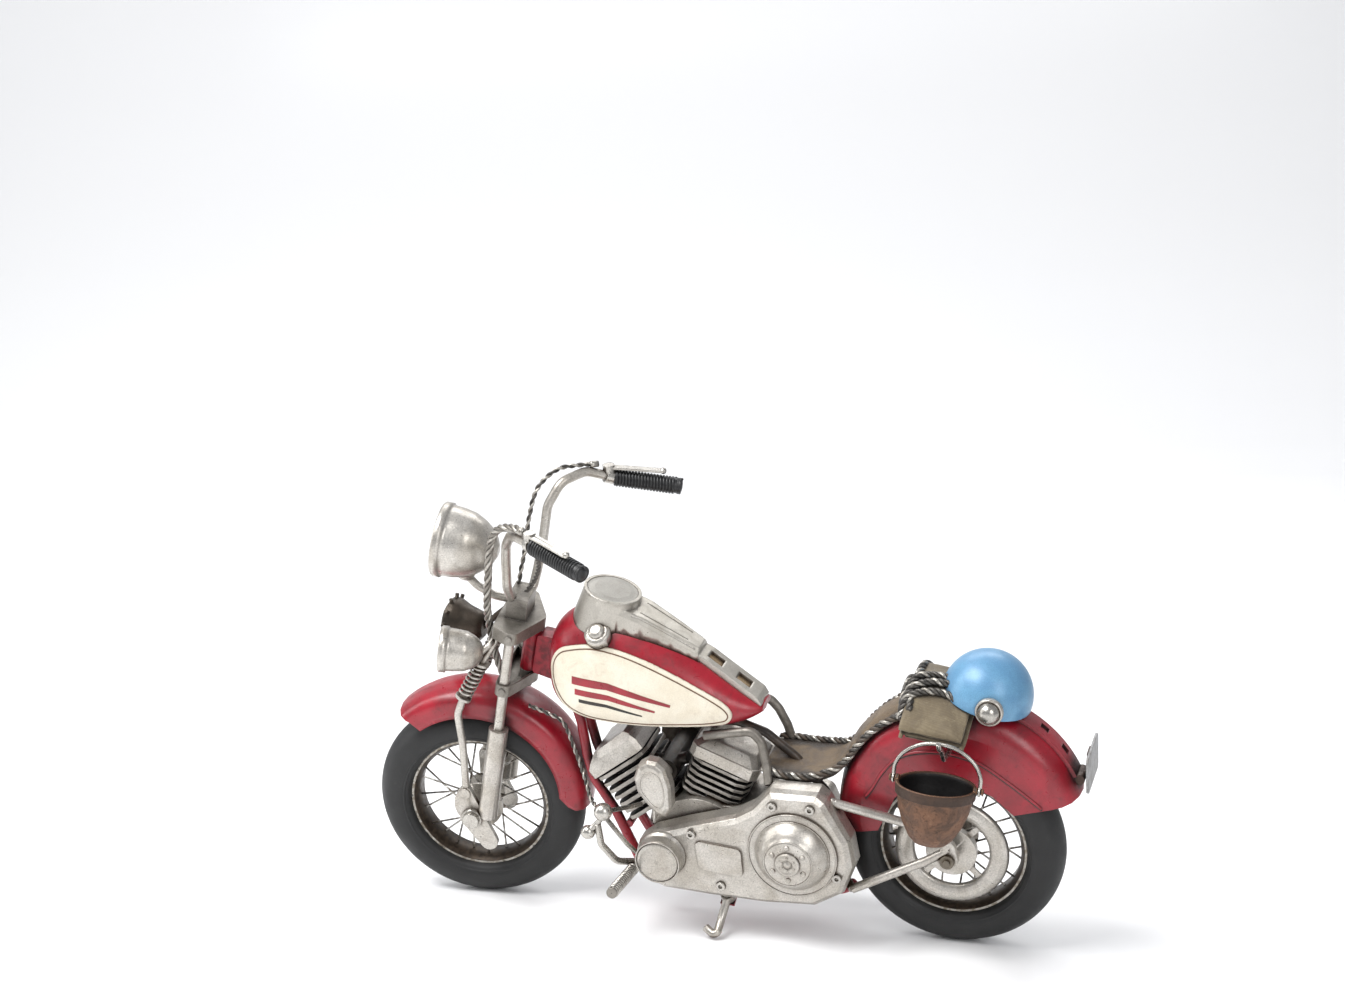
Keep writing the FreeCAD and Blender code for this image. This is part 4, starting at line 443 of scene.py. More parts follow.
LOOK = {
    "front_tyre": "tyre", "rear_tyre": "tyre", "front_rim": "rim_f", "rear_rim": "rim_r", "front_spokes": "spoke", "rear_spokes": "spoke", "front_hub": "silver", "rear_hub": "silver",
    "front_axle": "steel", "rear_axle": "brass", "fork_yokes": "silver_dark", "fork_legs": "silver", "springer_rods": "silver", "rocker_plates": "silver", "front_fender": "red",
    "headlight": "silver", "headlight_lens": "lens", "fog_lamp": "silver", "siren": "siren_dark", "handlebar": "silver", "hand_grips": "rubber", "hand_levers": "steel",
    "control_cables": "strand_dark", "frame_cradle": "red", "frame_neck": "neck", "fuel_tank": "red", "tank_panels": "cream", "dash_console": "bronze", "speedometer": "dial",
    "filler_caps": "silver", "engine_case": "silver", "front_cylinder": "fins", "rear_cylinder": "fins", "rocker_covers": "silver", "air_cleaner": "intake", "horn_cover": "silver",
    "primary_cover": "silver", "derby_cover": "silver", "alternator_cover": "silver", "primary_screws": "steel", "exhaust_pipes": "silver", "seat": "leather", "rear_fender": "red",
    "seat_lacing": "braid", "seat_tubes": "silver_dark", "rear_stays": "silver", "tail_bracket": "tail", "licence_plate": "plate", "foot_pegs": "silver", "shift_lever": "steel",
    "brake_pedal": "silver", "shift_cable": "strand_dark", "luggage_bag": "canvas", "luggage_rope": "strand_dark", "helmet": "blue", "bucket_hook": "steel", "kickstand": "silver",
    "kickstand_bolt": "steel", "bucket_bail": "steel", "bucket": "copper"}
for name, look in LOOK.items():
    o = N[name]
    o.data.materials.clear()
    o.data.materials.append(M[look])


# ------------------------------------------------------------------ mesh helpers
def piece(name, verts, faces, body, mat, slot=None, smooth=True, stands_for=(), faces_mat=None, mats=None, levels=0):
    me = bpy.data.meshes.new(name)
    me.from_pydata([tuple(v) for v in verts], [], faces)
    me.validate()
    o = bpy.data.objects.new(name, me)
    bpy.context.scene.collection.objects.link(o)
    for mm in (mats or [mat]):
        me.materials.append(M[mm] if isinstance(mm, str) else mm)
    if faces_mat:
        for i, p in enumerate(me.polygons):
            p.material_index = faces_mat[i]
    if smooth:
        for p in me.polygons:
            p.use_smooth = True
    me.update()
    if levels:
        s = o.modifiers.new("round", "SUBSURF")
        s.levels = s.render_levels = levels
    if body:
        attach(o, body)
    if stands_for:
        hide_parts(*stands_for)
    return o


class Build:
    def __init__(self):
        self.v, self.f, self.m = [], [], []

    def add(self, verts, faces, mi=0):
        k = len(self.v)
        self.v.extend(verts)
        self.f.extend([tuple(i + k for i in f) for f in faces])
        self.m.extend([mi] * len(faces))

    def tube(self, pts, r, sides=10, mi=0, closed=False, cap=True):
        pts = [Vector(p) for p in pts]
        n = len(pts)
        rad = r if callable(r) else (lambda t: r)
        verts, faces = [], []
        if closed:
            tan = [(pts[(i + 1) % n] - pts[i - 1]).normalized() for i in range(n)]
        else:
            tan = [(pts[min(i + 1, n - 1)] - pts[max(i - 1, 0)]).normalized() for i in range(n)]
        up = Vector((0, 0, 1)) if abs(tan[0].z) < 0.9 else Vector((1, 0, 0))
        a = (up - tan[0] * up.dot(tan[0])).normalized()
        for i in range(n):
            a = (a - tan[i] * a.dot(tan[i])).normalized()
            b = tan[i].cross(a)
            rr = rad(i / max(1, n - 1))
            for k in range(sides):
                w = 2 * math.pi * k / sides
                verts.append(pts[i] + (a * math.cos(w) + b * math.sin(w)) * rr)
        m = n if closed else n - 1
        for i in range(m):
            j = (i + 1) % n
            for k in range(sides):
                l = (k + 1) % sides
                faces.append((i * sides + k, i * sides + l, j * sides + l, j * sides + k))
        if cap and not closed:
            c0, c1 = len(verts), len(verts) + 1
            verts.append(pts[0] - tan[0] * rad(0) * 0.35)
            verts.append(pts[-1] + tan[-1] * rad(1) * 0.35)
            for k in range(sides):
                l = (k + 1) % sides
                faces.append((c0, l, k))
                faces.append((c1, (n - 1) * sides + k, (n - 1) * sides + l))
        self.add(verts, faces, mi)

    def strands(self, pts, n, r, off, pitch, mis, sides=8, phase=0.0):
        pts = [Vector(p) for p in pts]
        k = len(pts)
        tan = [(pts[min(i + 1, k - 1)] - pts[max(i - 1, 0)]).normalized() for i in range(k)]
        up = Vector((0, 0, 1)) if abs(tan[0].z) < 0.9 else Vector((1, 0, 0))
        a = (up - tan[0] * up.dot(tan[0])).normalized()
        fr = []
        s = 0.0
        for i in range(k):
            a = (a - tan[i] * a.dot(tan[i])).normalized()
            if i:
                s += (pts[i] - pts[i - 1]).length
            fr.append((a.copy(), tan[i].cross(a), s))
        for j in range(n):
            line = []
            for i in range(k):
                w = phase + 2 * math.pi * (j / n + fr[i][2] / pitch)
                line.append(pts[i] + (fr[i][0] * math.cos(w) + fr[i][1] * math.sin(w)) * off)
            self.tube(line, r, sides, mis[j % len(mis)])

    def lathe(self, profile, origin, axis, sides=48, mi=0, closed=False):
        """profile (distance along axis, radius), origin and axis in metres"""
        axis = Vector(axis).normalized()
        origin = Vector(origin)
        up = Vector((0, 0, 1)) if abs(axis.z) < 0.9 else Vector((1, 0, 0))
        a = (up - axis * up.dot(axis)).normalized()
        b = axis.cross(a)
        verts, faces = [], []
        for t, r in profile:
            for k in range(sides):
                w = 2 * math.pi * k / sides
                verts.append(origin + axis * t + (a * math.cos(w) + b * math.sin(w)) * max(r, 1e-6))
        m = len(profile)
        for i in range(m if closed else m - 1):
            j = (i + 1) % m
            for k in range(sides):
                l = (k + 1) % sides
                faces.append((i * sides + k, j * sides + k, j * sides + l, i * sides + l))
        self.add(verts, faces, mi)

    def dome(self, c, axis, r, h, mi=0, sides=16, rings=5):
        prof = [(-r * 0.25, r)] + [(h * math.sin(math.pi / 2 * i / rings), r * math.cos(math.pi / 2 * i / rings)) for i in range(rings + 1)]
        self.lathe(prof, c, axis, sides, mi)

    def done(self, name, body, mats, slot, **k):
        return piece(name, self.v, self.f, body, None, slot, faces_mat=self.m, mats=mats, **k)


def spline(pts, per=14, closed=False):
    """smooth line through the points"""
    p = [Vector(q) for q in pts]
    n = len(p)
    out = []
    for i in range(n if closed else n - 1):
        p0 = p[(i - 1) % n] if closed or i > 0 else p[0] * 2 - p[1]
        p1, p2 = p[i], p[(i + 1) % n]
        p3 = p[(i + 2) % n] if closed or i + 2 < n else p[-1] * 2 - p[-2]
        t1 = max((p1 - p0).length, 1e-9) ** 0.5
        t2 = t1 + max((p2 - p1).length, 1e-9) ** 0.5
        t3 = t2 + max((p3 - p2).length, 1e-9) ** 0.5
        for k in range(per):
            t = t1 + (t2 - t1) * k / per
            a1 = p0 * ((t1 - t) / t1) + p1 * (t / t1)
            a2 = p1 * ((t2 - t) / (t2 - t1)) + p2 * ((t - t1) / (t2 - t1))
            a3 = p2 * ((t3 - t) / (t3 - t2)) + p3 * ((t - t2) / (t3 - t2))
            b1 = a1 * ((t2 - t) / t2) + a2 * (t / t2)
            b2 = a2 * ((t3 - t) / (t3 - t1)) + a3 * ((t - t1) / (t3 - t1))
            out.append(b1 * ((t2 - t) / (t2 - t1)) + b2 * ((t - t1) / (t2 - t1)))
    if not closed:
        out.append(p[-1])
    return out


def even(pts, step):
    """points at an even spacing along a line"""
    out = [pts[0].copy()]
    left = step
    for i in range(1, len(pts)):
        a, b = pts[i - 1], pts[i]
        d = (b - a).length
        while d >= left:
            a = a + (b - a) * (left / d)
            out.append(a.copy())
            d = (b - a).length
            left = step
        left -= d
    if (out[-1] - pts[-1]).length > step * 0.3:
        out.append(pts[-1].copy())
    return out


def tree(node):
    me = N[node].data
    return BVHTree.FromPolygons([v.co.copy() for v in me.vertices], [tuple(p.vertices) for p in me.polygons])


def smooth_node(name, angle=32.0):
    """the carried-over node keeps its points; a weld modifier joins points that coincide; the angle is not used"""
    o = N[name]
    w = o.modifiers.new("join", "WELD")
    w.merge_threshold = 1e-6
    return o


def side_project(tr, x, z, lift=0.0, from_y=-60.0, fork=False):
    """where a line across the bike from its left meets a node, lifted off its surface, metres"""
    f, fd = (F, FD) if fork else (W, WD)
    hit, nor, _, _ = tr.ray_cast(f((x, from_y, z)), fd((0, 1, 0)), 0.2)
    if hit is None:
        return None
    if nor.dot(fd((0, 1, 0))) > 0:
        nor = -nor
    return hit + nor * lift * MM


for name in LOOK:
    smooth_node(name)

T = {k: tree(k) for k in ("tank_panels", "rear_fender", "front_fender", "horn_cover", "dash_console", "fuel_tank", "primary_cover")}

# ------------------------------------------------------------------ tyres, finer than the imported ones
half = [(29.95, 5.9), (31.2, 8.4), (34.2, 10.0), (37.6, 9.9), (41.2, 8.25), (43.9, 4.55), (44.97, 0.0)]
prof = spline([Vector((y, r, 0)) for r, y in half] + [Vector((-y, r, 0)) for r, y in reversed(half[:-1])], 6)
for name, c, ax, body in (("front_tyre", FRONT_C, FRONT_AX, "front_wheel"), ("rear_tyre", REAR_C, REAR_AX, "rear_wheel")):
    b = Build()
    b.lathe([(p.x * MM, p.y * MM) for p in prof], c, ax, 128, 0)
    b.lathe([(5.9 * MM, 29.95 * MM), (-5.9 * MM, 29.95 * MM)], c, ax, 128, 0)
    for s in (-1, 1):                                   # raised bead ring on each side wall
        b.lathe([((s * 9.05) * MM, 32.1 * MM), ((s * 9.55) * MM, 32.4 * MM), ((s * 9.75) * MM, 32.9 * MM), ((s * 9.6) * MM, 33.2 * MM)], c, ax, 128, 0)
    b.done(name + "_moulded", body, ["tyre"], "tyre_rubber", stands_for=(name,))

# ------------------------------------------------------------------ wound grips
ends = {"right": (twist((-152.8, 39.3, 180.6)), twist((-127.6, 49.1, 175.4))), "left": (twist((-152.8, -39.3, 180.6)), twist((-127.6, -49.1, 175.4)))}
b = Build()
for key, (p, q) in ends.items():
    p, q = F(p), F(q)
    d = (q - p)
    L = d.length
    d.normalize()
    b.lathe([(0, 2.05 * MM), (0, 3.0 * MM), (0.4 * MM, 3.25 * MM), (L * 0.94, 3.25 * MM), (L * 0.99, 3.0 * MM), (L * 1.022, 2.4 * MM), (L * 1.030, 1.2 * MM), (L * 1.032, 0)], p, d, 28)
    up0 = Vector((0, 0, 1))
    a = (up0 - d * up0.dot(d)).normalized()
    e = d.cross(a)
    turns, line = 19, []
    for i in range(turns * 18 + 1):
        w = 2 * math.pi * i / 18
        line.append(p + d * (0.5 * MM + (L * 0.90) * i / (turns * 18)) + (a * math.cos(w) + e * math.sin(w)) * 3.26 * MM)
    b.tube(line, 0.56 * MM, 8)
    line = []
    for i in range(2 * 22 + 1):
        w = 2 * math.pi * i / 22
        line.append(p + d * (L * 0.955 + 0.75 * MM * i / 22) + (a * math.cos(w) + e * math.sin(w)) * 2.95 * MM)
    b.tube(line, 0.62 * MM, 8)
    line = []
    for i in range(30):
        w = 2 * math.pi * i / 30
        line.append(p + d * (0.2 * MM) + (a * math.cos(w) + e * math.sin(w)) * 3.1 * MM)
    b.tube(line, 0.5 * MM, 8, closed=True)
b.done("wound_grips", "fork", ["rubber"], "grip_rubber", stands_for=("hand_grips",))

# ------------------------------------------------------------------ twisted wire cables
BUNDLE = [(-165.9, -37.2, 187.0), (-171.5, -32.5, 186.4), (-178.8, -27.5, 183.2), (-184.0, -22.5, 174.5), (-187.8, -19.0, 157.0), (-190.4, -15.6, 143.0), (-191.4, -11.6, 132.4), (-190.4, -10.8, 119.0), (-188.2, -10.3, 109.2)]
LOOP = [(-165.0, -36.0, 179.6), (-163.8, -30.0, 174.0), (-165.8, -20.0, 163.5), (-170.5, -12.0, 153.5), (-175.8, -6.6, 146.0)]
FAR = [(-151.6, 32.6, 186.4), (-158.5, 28.6, 187.4), (-166.0, 23.6, 187.6), (-173.4, 17.0, 182.0), (-177.4, 13.5, 170.0), (-179.4, 10.6, 158.0), (-181.8, 6.8, 146.6), (-183.0, 5.6, 138.5), (-183.4, 5.2, 131.5)]
b = Build()
b.strands(even(spline([F(p) for p in BUNDLE], 20), 0.45 * MM), 4, 0.72 * MM, 1.0 * MM, 15.0 * MM, [1, 2, 1, 2], 9)
b.strands(even(spline([F(p) for p in LOOP], 20), 0.45 * MM), 2, 0.56 * MM, 0.5 * MM, 7.0 * MM, [0, 0], 8)
b.strands(even(spline([F(p) for p in FAR], 20), 0.45 * MM), 2, 0.56 * MM, 0.5 * MM, 7.0 * MM, [0, 1], 8)
for p, q in ((BUNDLE[0], BUNDLE[1]), (LOOP[0], LOOP[1]), (FAR[0], FAR[1])):           # soldered ferrules
    P, Q = F(p), F(q)
    b.lathe([(-0.8 * MM, 0.2 * MM), (-0.8 * MM, 1.35 * MM), (2.2 * MM, 1.45 * MM), (2.8 * MM, 1.2 * MM), (2.8 * MM, 0.9 * MM)], P, (Q - P), 18, 1)
b.done("twisted_cables", "fork", ["strand_dark", "strand_silver", "silver_dark"], "cable_dark", stands_for=("control_cables",))

SHIFT = [(-176.4, -12.4, 96.2), (-168.0, -12.9, 93.6), (-162.0, -13.0, 90.4), (-156.8, -14.6, 78.6), (-150.6, -22.0, 70.4), (-145.0, -31.0, 65.6), (-141.2, -35.8, 65.0)]
b = Build()
line = even(spline([W(p) for p in SHIFT], 20), 0.4 * MM)
b.strands(line, 2, 0.52 * MM, 0.48 * MM, 6.0 * MM, [0, 1], 8)
shift = b.done("twisted_shift_cable", None, ["strand_dark", "strand_silver"], "cable_dark", stands_for=("shift_cable",))
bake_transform(shift)

# ------------------------------------------------------------------ seat: a pressed strip with a padded nose, running up the rear fender
RC = Vector((3.2, 0, 59.8))
top = [(-76.6, 77.3, 13.4), (-74.8, 77.3, 14.8), (-71.5, 76.9, 16.0), (-66.0, 76.3, 16.6), (-60.0, 76.1, 16.5), (-54.5, 76.5, 16.0), (-50.6, 77.4, 14.6), (-47.6, 79.0, 13.2)]
for a in (154, 148, 142, 136, 130, 124, 118, 113):
    top.append((RC.x + 52.6 * math.cos(math.radians(a)), RC.z + 52.6 * math.sin(math.radians(a)), 11.6 if a > 140 else 10.9))
line = spline([Vector(p) for p in top], 8)
ns, nc = len(line), 40
b = Build()
verts, faces = [], []
edge_l, edge_r = [], []
for i, p in enumerate(line):
    t = (line[min(i + 1, ns - 1)] - line[max(i - 1, 0)])
    t = Vector((t.x, 0, t.y)).normalized()
    nrm = Vector((-t.z, 0, t.x))
    s = i / (ns - 1)
    k = min(1.0, max(0.0, (s - 0.42) / 0.16))                       # 0 on the saddle, 1 on the fender
    hw = p.z
    thick = 3.0 * (1 - k) + 1.7 * k
    end = min(1.0, math.sqrt(max(0.02, s / 0.035))) * min(1.0, math.sqrt(max(0.02, (1 - s) / 0.012)))
    thick *= 0.45 + 0.55 * end
    for j in range(nc):
        w = 2 * math.pi * j / nc
        cy, sy = math.cos(w), math.sin(w)
        yy = math.copysign(abs(cy) ** 0.42, cy)
        zz = math.copysign(abs(sy) ** 0.55, sy)
        u = abs(yy)
        drop = k * (3.0 * max(0.0, u * hw - 3.0) ** 2 / (hw - 3.0) ** 2 * 0.80)
        dish = (1 - k) * (0.75 * (u ** 2) - 0.75)                    # hollow in the middle, raised at the edges
        pad = (1 - k) * 0.5 * (1 - u ** 4) * (1.0 if sy > 0 else 0.0)
        lift = zz * thick / 2 + (dish + pad if sy > 0 else 0.0) - thick / 2 - drop
        q = Vector((p.x, yy * hw * (0.97 + 0.03 * end), p.y)) + nrm * lift
        wob = noise.noise(q * 0.16) * 0.28
        q += nrm * wob
        verts.append(W(q))
    for sgn, lst in ((-1, edge_l), (1, edge_r)):
        drop = k * 2.4
        lst.append(Vector((p.x, sgn * (hw - 0.1), p.y)) + nrm * (0.35 - 0.35 * k - drop))
for i in range(ns - 1):
    for j in range(nc):
        l = (j + 1) % nc
        faces.append((i * nc + j, i * nc + l, (i + 1) * nc + l, (i + 1) * nc + j))
faces.append(tuple(range(nc - 1, -1, -1)))
faces.append(tuple((ns - 1) * nc + j for j in range(nc)))
b.add(verts, faces, 0)
seat = b.done("seat_strip", "frame", ["leather"], "seat_brown", stands_for=("seat",))

b = Build()
for lst in (edge_l, edge_r):
    pts = [W(q) for q in lst[3:]]
    b.strands(even(pts, 0.45 * MM), 3, 0.80 * MM, 0.86 * MM, 8.0 * MM, [0, 2, 1], 8)
b.done("braided_lacing", "frame", ["braid", "strand_dark", "strand_silver"], "braid_dark", stands_for=("seat_lacing",))

# ------------------------------------------------------------------ luggage: folded cloth over the fender, tied with wire rope
TH = math.radians(-9)
EX, EZ = Vector((math.cos(TH), 0, math.sin(TH))), Vector((-math.sin(TH), 0, math.cos(TH)))


def bag_point(u, y, h):
    """u along the bike -1..1, y across mm, h height above the bag's middle mm"""
    return Vector((-2.0, y, 112.0)) + EX * (u * 13.6) + EZ * h


CROWN = [(-27.0, -9.4), (-22.0, -6.4), (-15.0, -1.6), (-8.0, 2.4), (0.0, 3.1), (8.0, 2.6), (15.0, -1.4), (22.0, -6.4), (26.0, -9.4)]


def crown(y):
    for (a, b0), (c, d0) in zip(CROWN, CROWN[1:]):
        if y <= c:
            t = (y - a) / (c - a)
            t = max(0.0, min(1.0, t))
            t = t * t * (3 - 2 * t) * 0.35 + t * 0.65
            return b0 + (d0 - b0) * t
    return CROWN[-1][1]


b = Build()


def cloth_roll(y0, y1, top_h, bot_h, u0, u1, seed, crease=None, nx=44, nyy=64, sag=0.5):
    verts, faces = [], []
    ring = 2 * nx
    for i in range(nyy + 1):
        y = y0 + (y1 - y0) * i / nyy
        s = i / nyy
        close = min(1.0, math.sqrt(max(0.0, s / 0.05))) * min(1.0, math.sqrt(max(0.0, (1 - s) / 0.05)))
        mid = (top_h + bot_h) / 2
        hh = (top_h - bot_h) / 2 * (0.30 + 0.70 * close)
        for j in range(ring):
            w = 2 * math.pi * j / ring
            cu, su = math.cos(w), math.sin(w)
            uu = math.copysign(abs(cu) ** 0.38, cu)
            zz = math.copysign(abs(su) ** 0.5, su)
            u = (u0 + u1) / 2 + uu * (u1 - u0) / 2 * (0.985 + 0.015 * close)
            h = mid + zz * hh
            if crease is not None and su > 0:
                h -= 0.75 * math.exp(-((u - crease - 0.05 * math.sin(y * 0.2)) / 0.045) ** 2)
            h += 0.45 * noise.noise(Vector((u * 2.2, y * 0.13, seed))) + 0.16 * noise.noise(Vector((u * 9, y * 0.5, seed + 9)))
            h -= sag * (1 - abs(uu) ** 2) * 0.35 if su > 0 else 0
            q = bag_point(u, y, h + crown(y))
            verts.append(W(q))
    for i in range(nyy):
        for j in range(ring):
            l = (j + 1) % ring
            faces.append((i * ring + j, (i + 1) * ring + j, (i + 1) * ring + l, i * ring + l))
    faces.append(tuple(range(ring)))
    faces.append(tuple(nyy * ring + j for j in range(ring - 1, -1, -1)))
    b.add(verts, faces, 0)


cloth_roll(-26.4, 25.4, 3.9, 0.5, -0.98, 0.88, 1.7, crease=0.16)
cloth_roll(-25.2, 24.2, 0.25, -2.0, -0.90, 0.99, 4.1)
cloth_roll(-24.0, 23.2, -2.3, -4.1, -0.80, 0.94, 8.8)
for u, h, r in ((-0.88, -1.0, 0.85), (0.90, -1.2, 0.95)):            # rolled ends of the layers
    line = [W(bag_point(u, y, h + crown(y))) for y in [-26.6 + 52.0 * k / 40 for k in range(41)]]
    b.tube(line, r * MM, 12, 0)
bag = b.done("rolled_bag", "frame", ["canvas"], "canvas_olive", stands_for=("luggage_bag",))

b = Build()
ROPE = [(-13.2, -19.5, 111.9), (-13.4, -12.0, 117.4), (-12.8, -5.0, 120.0), (-12.4, 5.0, 120.3), (-12.2, 12.5, 117.0), (-12.2, 19.5, 111.9)]
ROPE2 = [(-17.4, -16.5, 106.5), (-17.8, -10.0, 111.6), (-17.6, -3.0, 114.6), (-17.6, 3.0, 114.6), (-17.8, 10.0, 111.6), (-17.4, 16.5, 106.5)]
for route, ph in ((ROPE, 0.0), (ROPE2, 1.1)):
    b.strands(even(spline([W(p) for p in route], 20), 0.45 * MM), 3, 0.78 * MM, 0.82 * MM, 7.5 * MM, [0, 1, 0], 9, ph)
for route, ph in (([(-1.06, -19.5, -0.6), (-0.96, -15.5, 4.4), (-0.45, -12.6, 5.9), (0.15, -12.2, 5.9), (0.62, -14.2, 5.0)], 0.4),
                  ([(-1.05, -16.0, 0.8), (-0.90, -12.0, 5.4), (-0.40, -9.2, 6.4), (0.22, -8.4, 6.3)], 2.0),
                  ([(-1.02, -11.0, 2.2), (-0.84, -7.6, 5.9), (-0.40, -5.2, 6.6), (0.1, -4.6, 6.5)], 3.1)):
    b.strands(even(spline([W(bag_point(u, y, h + crown(y) - 0.9)) for u, y, h in route], 20), 0.45 * MM), 3, 0.80 * MM, 0.86 * MM, 7.5 * MM, [0, 1, 0], 9, ph)
b.done("twisted_rope", "frame", ["strand_dark", "strand_silver"], "rope_dark", stands_for=("luggage_rope",))

# ------------------------------------------------------------------ groove line and stripes on the tank panels
PANEL = [(-164.3, 114.5), (-163.2, 120.4), (-159.6, 124.8), (-153.9, 127.1), (-145.7, 128.4), (-135.8, 127.2), (-126.1, 124.2), (-109.8, 116.6), (-95.2, 108.0), (-89.4, 103.2), (-88.0, 100.0),
         (-89.4, 97.2), (-93.5, 96.0), (-111.3, 94.9), (-122.6, 94.5), (-139.8, 95.0), (-150.5, 96.8), (-158.5, 100.8), (-162.8, 107.0)]
loop = spline([Vector((x, z, 0)) for x, z in PANEL], 8, closed=True)
b = Build()
for side in (-1, 1):
    pts = []
    n = len(loop)
    for i, p in enumerate(loop):
        t = (loop[(i + 1) % n] - loop[i - 1]).normalized()
        q = p + Vector((t.y, -t.x, 0)) * -1.45 if False else p + Vector((-t.y, t.x, 0)) * -1.45
        c = Vector((-126.0, 110.0, 0))
        alt = p + Vector((t.y, -t.x, 0)) * -1.45
        if (alt - c).length < (q - c).length and (alt - p).dot(c - p) > (q - p).dot(c - p):
            q = alt
        h, hd = (W((q.x, side * 60.0, q.y)), WD((0, -side, 0)))
        hit, nor, _, _ = T["tank_panels"].ray_cast(h, hd, 0.2)
        if hit is not None:
            pts.append(hit - hd * 0.02 * MM)
    if len(pts) > 20:
        b.tube(pts, 0.26 * MM, 6, 0, closed=True)
b.done("panel_lines", "frame", ["brown_line"], "cream_paint")

b = Build()


def stripe(line, widths, mi, side, lift=0.10, steps=46, across=5):
    verts, faces = [], []
    ok = True
    for i in range(steps + 1):
        s = i / steps
        k = min(int(s * (len(line) - 1)), len(line) - 2)
        t = s * (len(line) - 1) - k
        p = Vector(line[k]).lerp(Vector(line[k + 1]), t)
        d = (Vector(line[k + 1]) - Vector(line[k])).normalized()
        nn = Vector((-d.y, d.x))
        kw = min(int(s * (len(widths) - 1)), len(widths) - 2)
        wv = widths[kw] + (widths[kw + 1] - widths[kw]) * (s * (len(widths) - 1) - kw)
        for j in range(across + 1):
            q = p + nn * wv * (j / across - 0.5)
            hd = WD((0, -side, 0))
            hit, nor, _, _ = T["tank_panels"].ray_cast(W((q.x, side * 60.0, q.y)), hd, 0.2)
            if hit is None:
                return
            verts.append(hit - hd * lift * MM)
    m = across + 1
    for i in range(steps):
        for j in range(across):
            f = (i * m + j, (i + 1) * m + j, (i + 1) * m + j + 1, i * m + j + 1)
            faces.append(f if side > 0 else f[::-1])
    b.add(verts, faces, mi)


for side in (-1, 1):
    stripe([(-153.5, 113.6), (-138.0, 112.4), (-112.0, 105.0)], [3.4, 3.4, 2.6, 1.2], 0, side)
    stripe([(-152.5, 108.6), (-138.0, 107.4), (-118.5, 102.2)], [2.6, 2.6, 2.0, 0.9], 0, side)
    stripe([(-151.0, 104.6), (-139.0, 103.6), (-124.0, 100.0)], [1.5, 1.5, 1.2, 0.6], 1, side)
b.done("speed_stripes", "frame", ["red", "black"], "red_paint")

# ------------------------------------------------------------------ pressed lines, ridges, small bumps
b = Build()
for side in (-1, 1):
    path = spline([Vector((x, z, 0)) for x, z in ((-33.5, 69.0), (-31.0, 72.5), (-26.0, 81.0), (-18.6, 88.6), (-4.0, 92.0), (11.6, 89.0), (25.0, 80.5), (39.0, 69.5))], 10)
    pts = []
    for q in path:
        hd = WD((0, -side, 0))
        hit, nor, _, _ = T["rear_fender"].ray_cast(W((q.x, side * 60.0, q.y)), hd, 0.2)
        if hit is not None:
            pts.append(hit - hd * 0.05 * MM)
    if len(pts) > 8:
        b.tube(pts, 0.60 * MM, 8, 0)
        low = [q + WD((0, 0, -1)) * 0.85 * MM for q in pts]
        b.tube(low, 0.34 * MM, 8, 1)
b.done("fender_bead", "frame", ["red", "black"], "red_paint")

HORN = [(-124.6, 81.6), (-120.5, 84.2), (-116.4, 83.6), (-113.2, 80.6), (-111.2, 72.5), (-111.4, 63.2), (-114.2, 58.8), (-118.0, 59.6), (-122.0, 64.2), (-125.8, 69.6), (-126.8, 75.6)]
b = Build()
c = Vector((sum(p[0] for p in HORN) / 11, sum(p[1] for p in HORN) / 11, 0))
for k, rr in ((0.62, 0.28),):
    pts = []
    for q in spline([Vector((x, z, 0)) for x, z in HORN], 8, closed=True):
        w = c + (q - c) * k
        hd = WD((0, 1, 0))
        hit, nor, _, _ = T["horn_cover"].ray_cast(W((w.x, -60.0, w.y)), hd, 0.2)
        if hit is not None:
            pts.append(hit)
    b.tube(pts, rr * MM, 8, 0, closed=True)
DC = Vector((-60.7, -38.92, 48.2))                                 # end of the derby cover's centre disc
dn = WD((0, -1, 0))
for k in range(6):
    a = math.radians(30 + 60 * k)
    b.dome(W((DC.x + 2.9 * math.cos(a), DC.y, DC.z + 2.9 * math.sin(a))), dn, 0.62 * MM, 0.45 * MM, 0)
b.dome(W((DC.x, DC.y, DC.z)), dn, 0.9 * MM, 0.5 * MM, 0)
for p0, p1 in (((-129.5, -8.9, 139.9), (-104.5, -5.5, 125.2)), ((-127.0, -4.8, 140.4), (-108.0, -3.4, 128.6)), ((-129.5, 8.9, 139.9), (-104.5, 5.5, 125.2)), ((-127.0, 4.8, 140.4), (-108.0, 3.4, 128.6))):
    pts = []
    for i in range(25):
        q = Vector(p0).lerp(Vector(p1), i / 24)
        hit, nor, _, _ = T["dash_console"].ray_cast(W((q.x, q.y, 170)), WD((0, 0, -1)), 0.2)
        if hit is not None:
            pts.append(hit)
    if len(pts) > 6:
        b.tube(pts, 0.34 * MM, 8, 0)
b.done("pressed_lines", "frame", ["silver"], "silver_paint")



# ------------------------------------------------------------------ helmet stud, smooth bail, wound pegs
b = Build()
hc = Vector((18.4, -19.6, 113.9))
dn = WD((0, -1, 0.12))
b.lathe([(-2.0 * MM, 5.5 * MM), (0.0, 5.6 * MM), (0.9 * MM, 5.1 * MM), (0.7 * MM, 4.5 * MM), (-0.6 * MM, 4.3 * MM)], W(hc), dn, 40, 0)
prof = [(4.4 * math.sin(a) * MM, 4.4 * math.cos(a) * MM) for a in [math.pi / 2 * (k / 12) for k in range(-5, 13)]]
b.lathe(prof, W(hc + Vector((0, -0.2, 0))), dn, 40, 1)
b.done("helmet_stud", "frame", ["silver", "steel"], "silver_paint")

BP = Vector((99.44, -32.6862, 96.3382))
C5, S5 = math.cos(math.radians(5)), math.sin(math.radians(5))


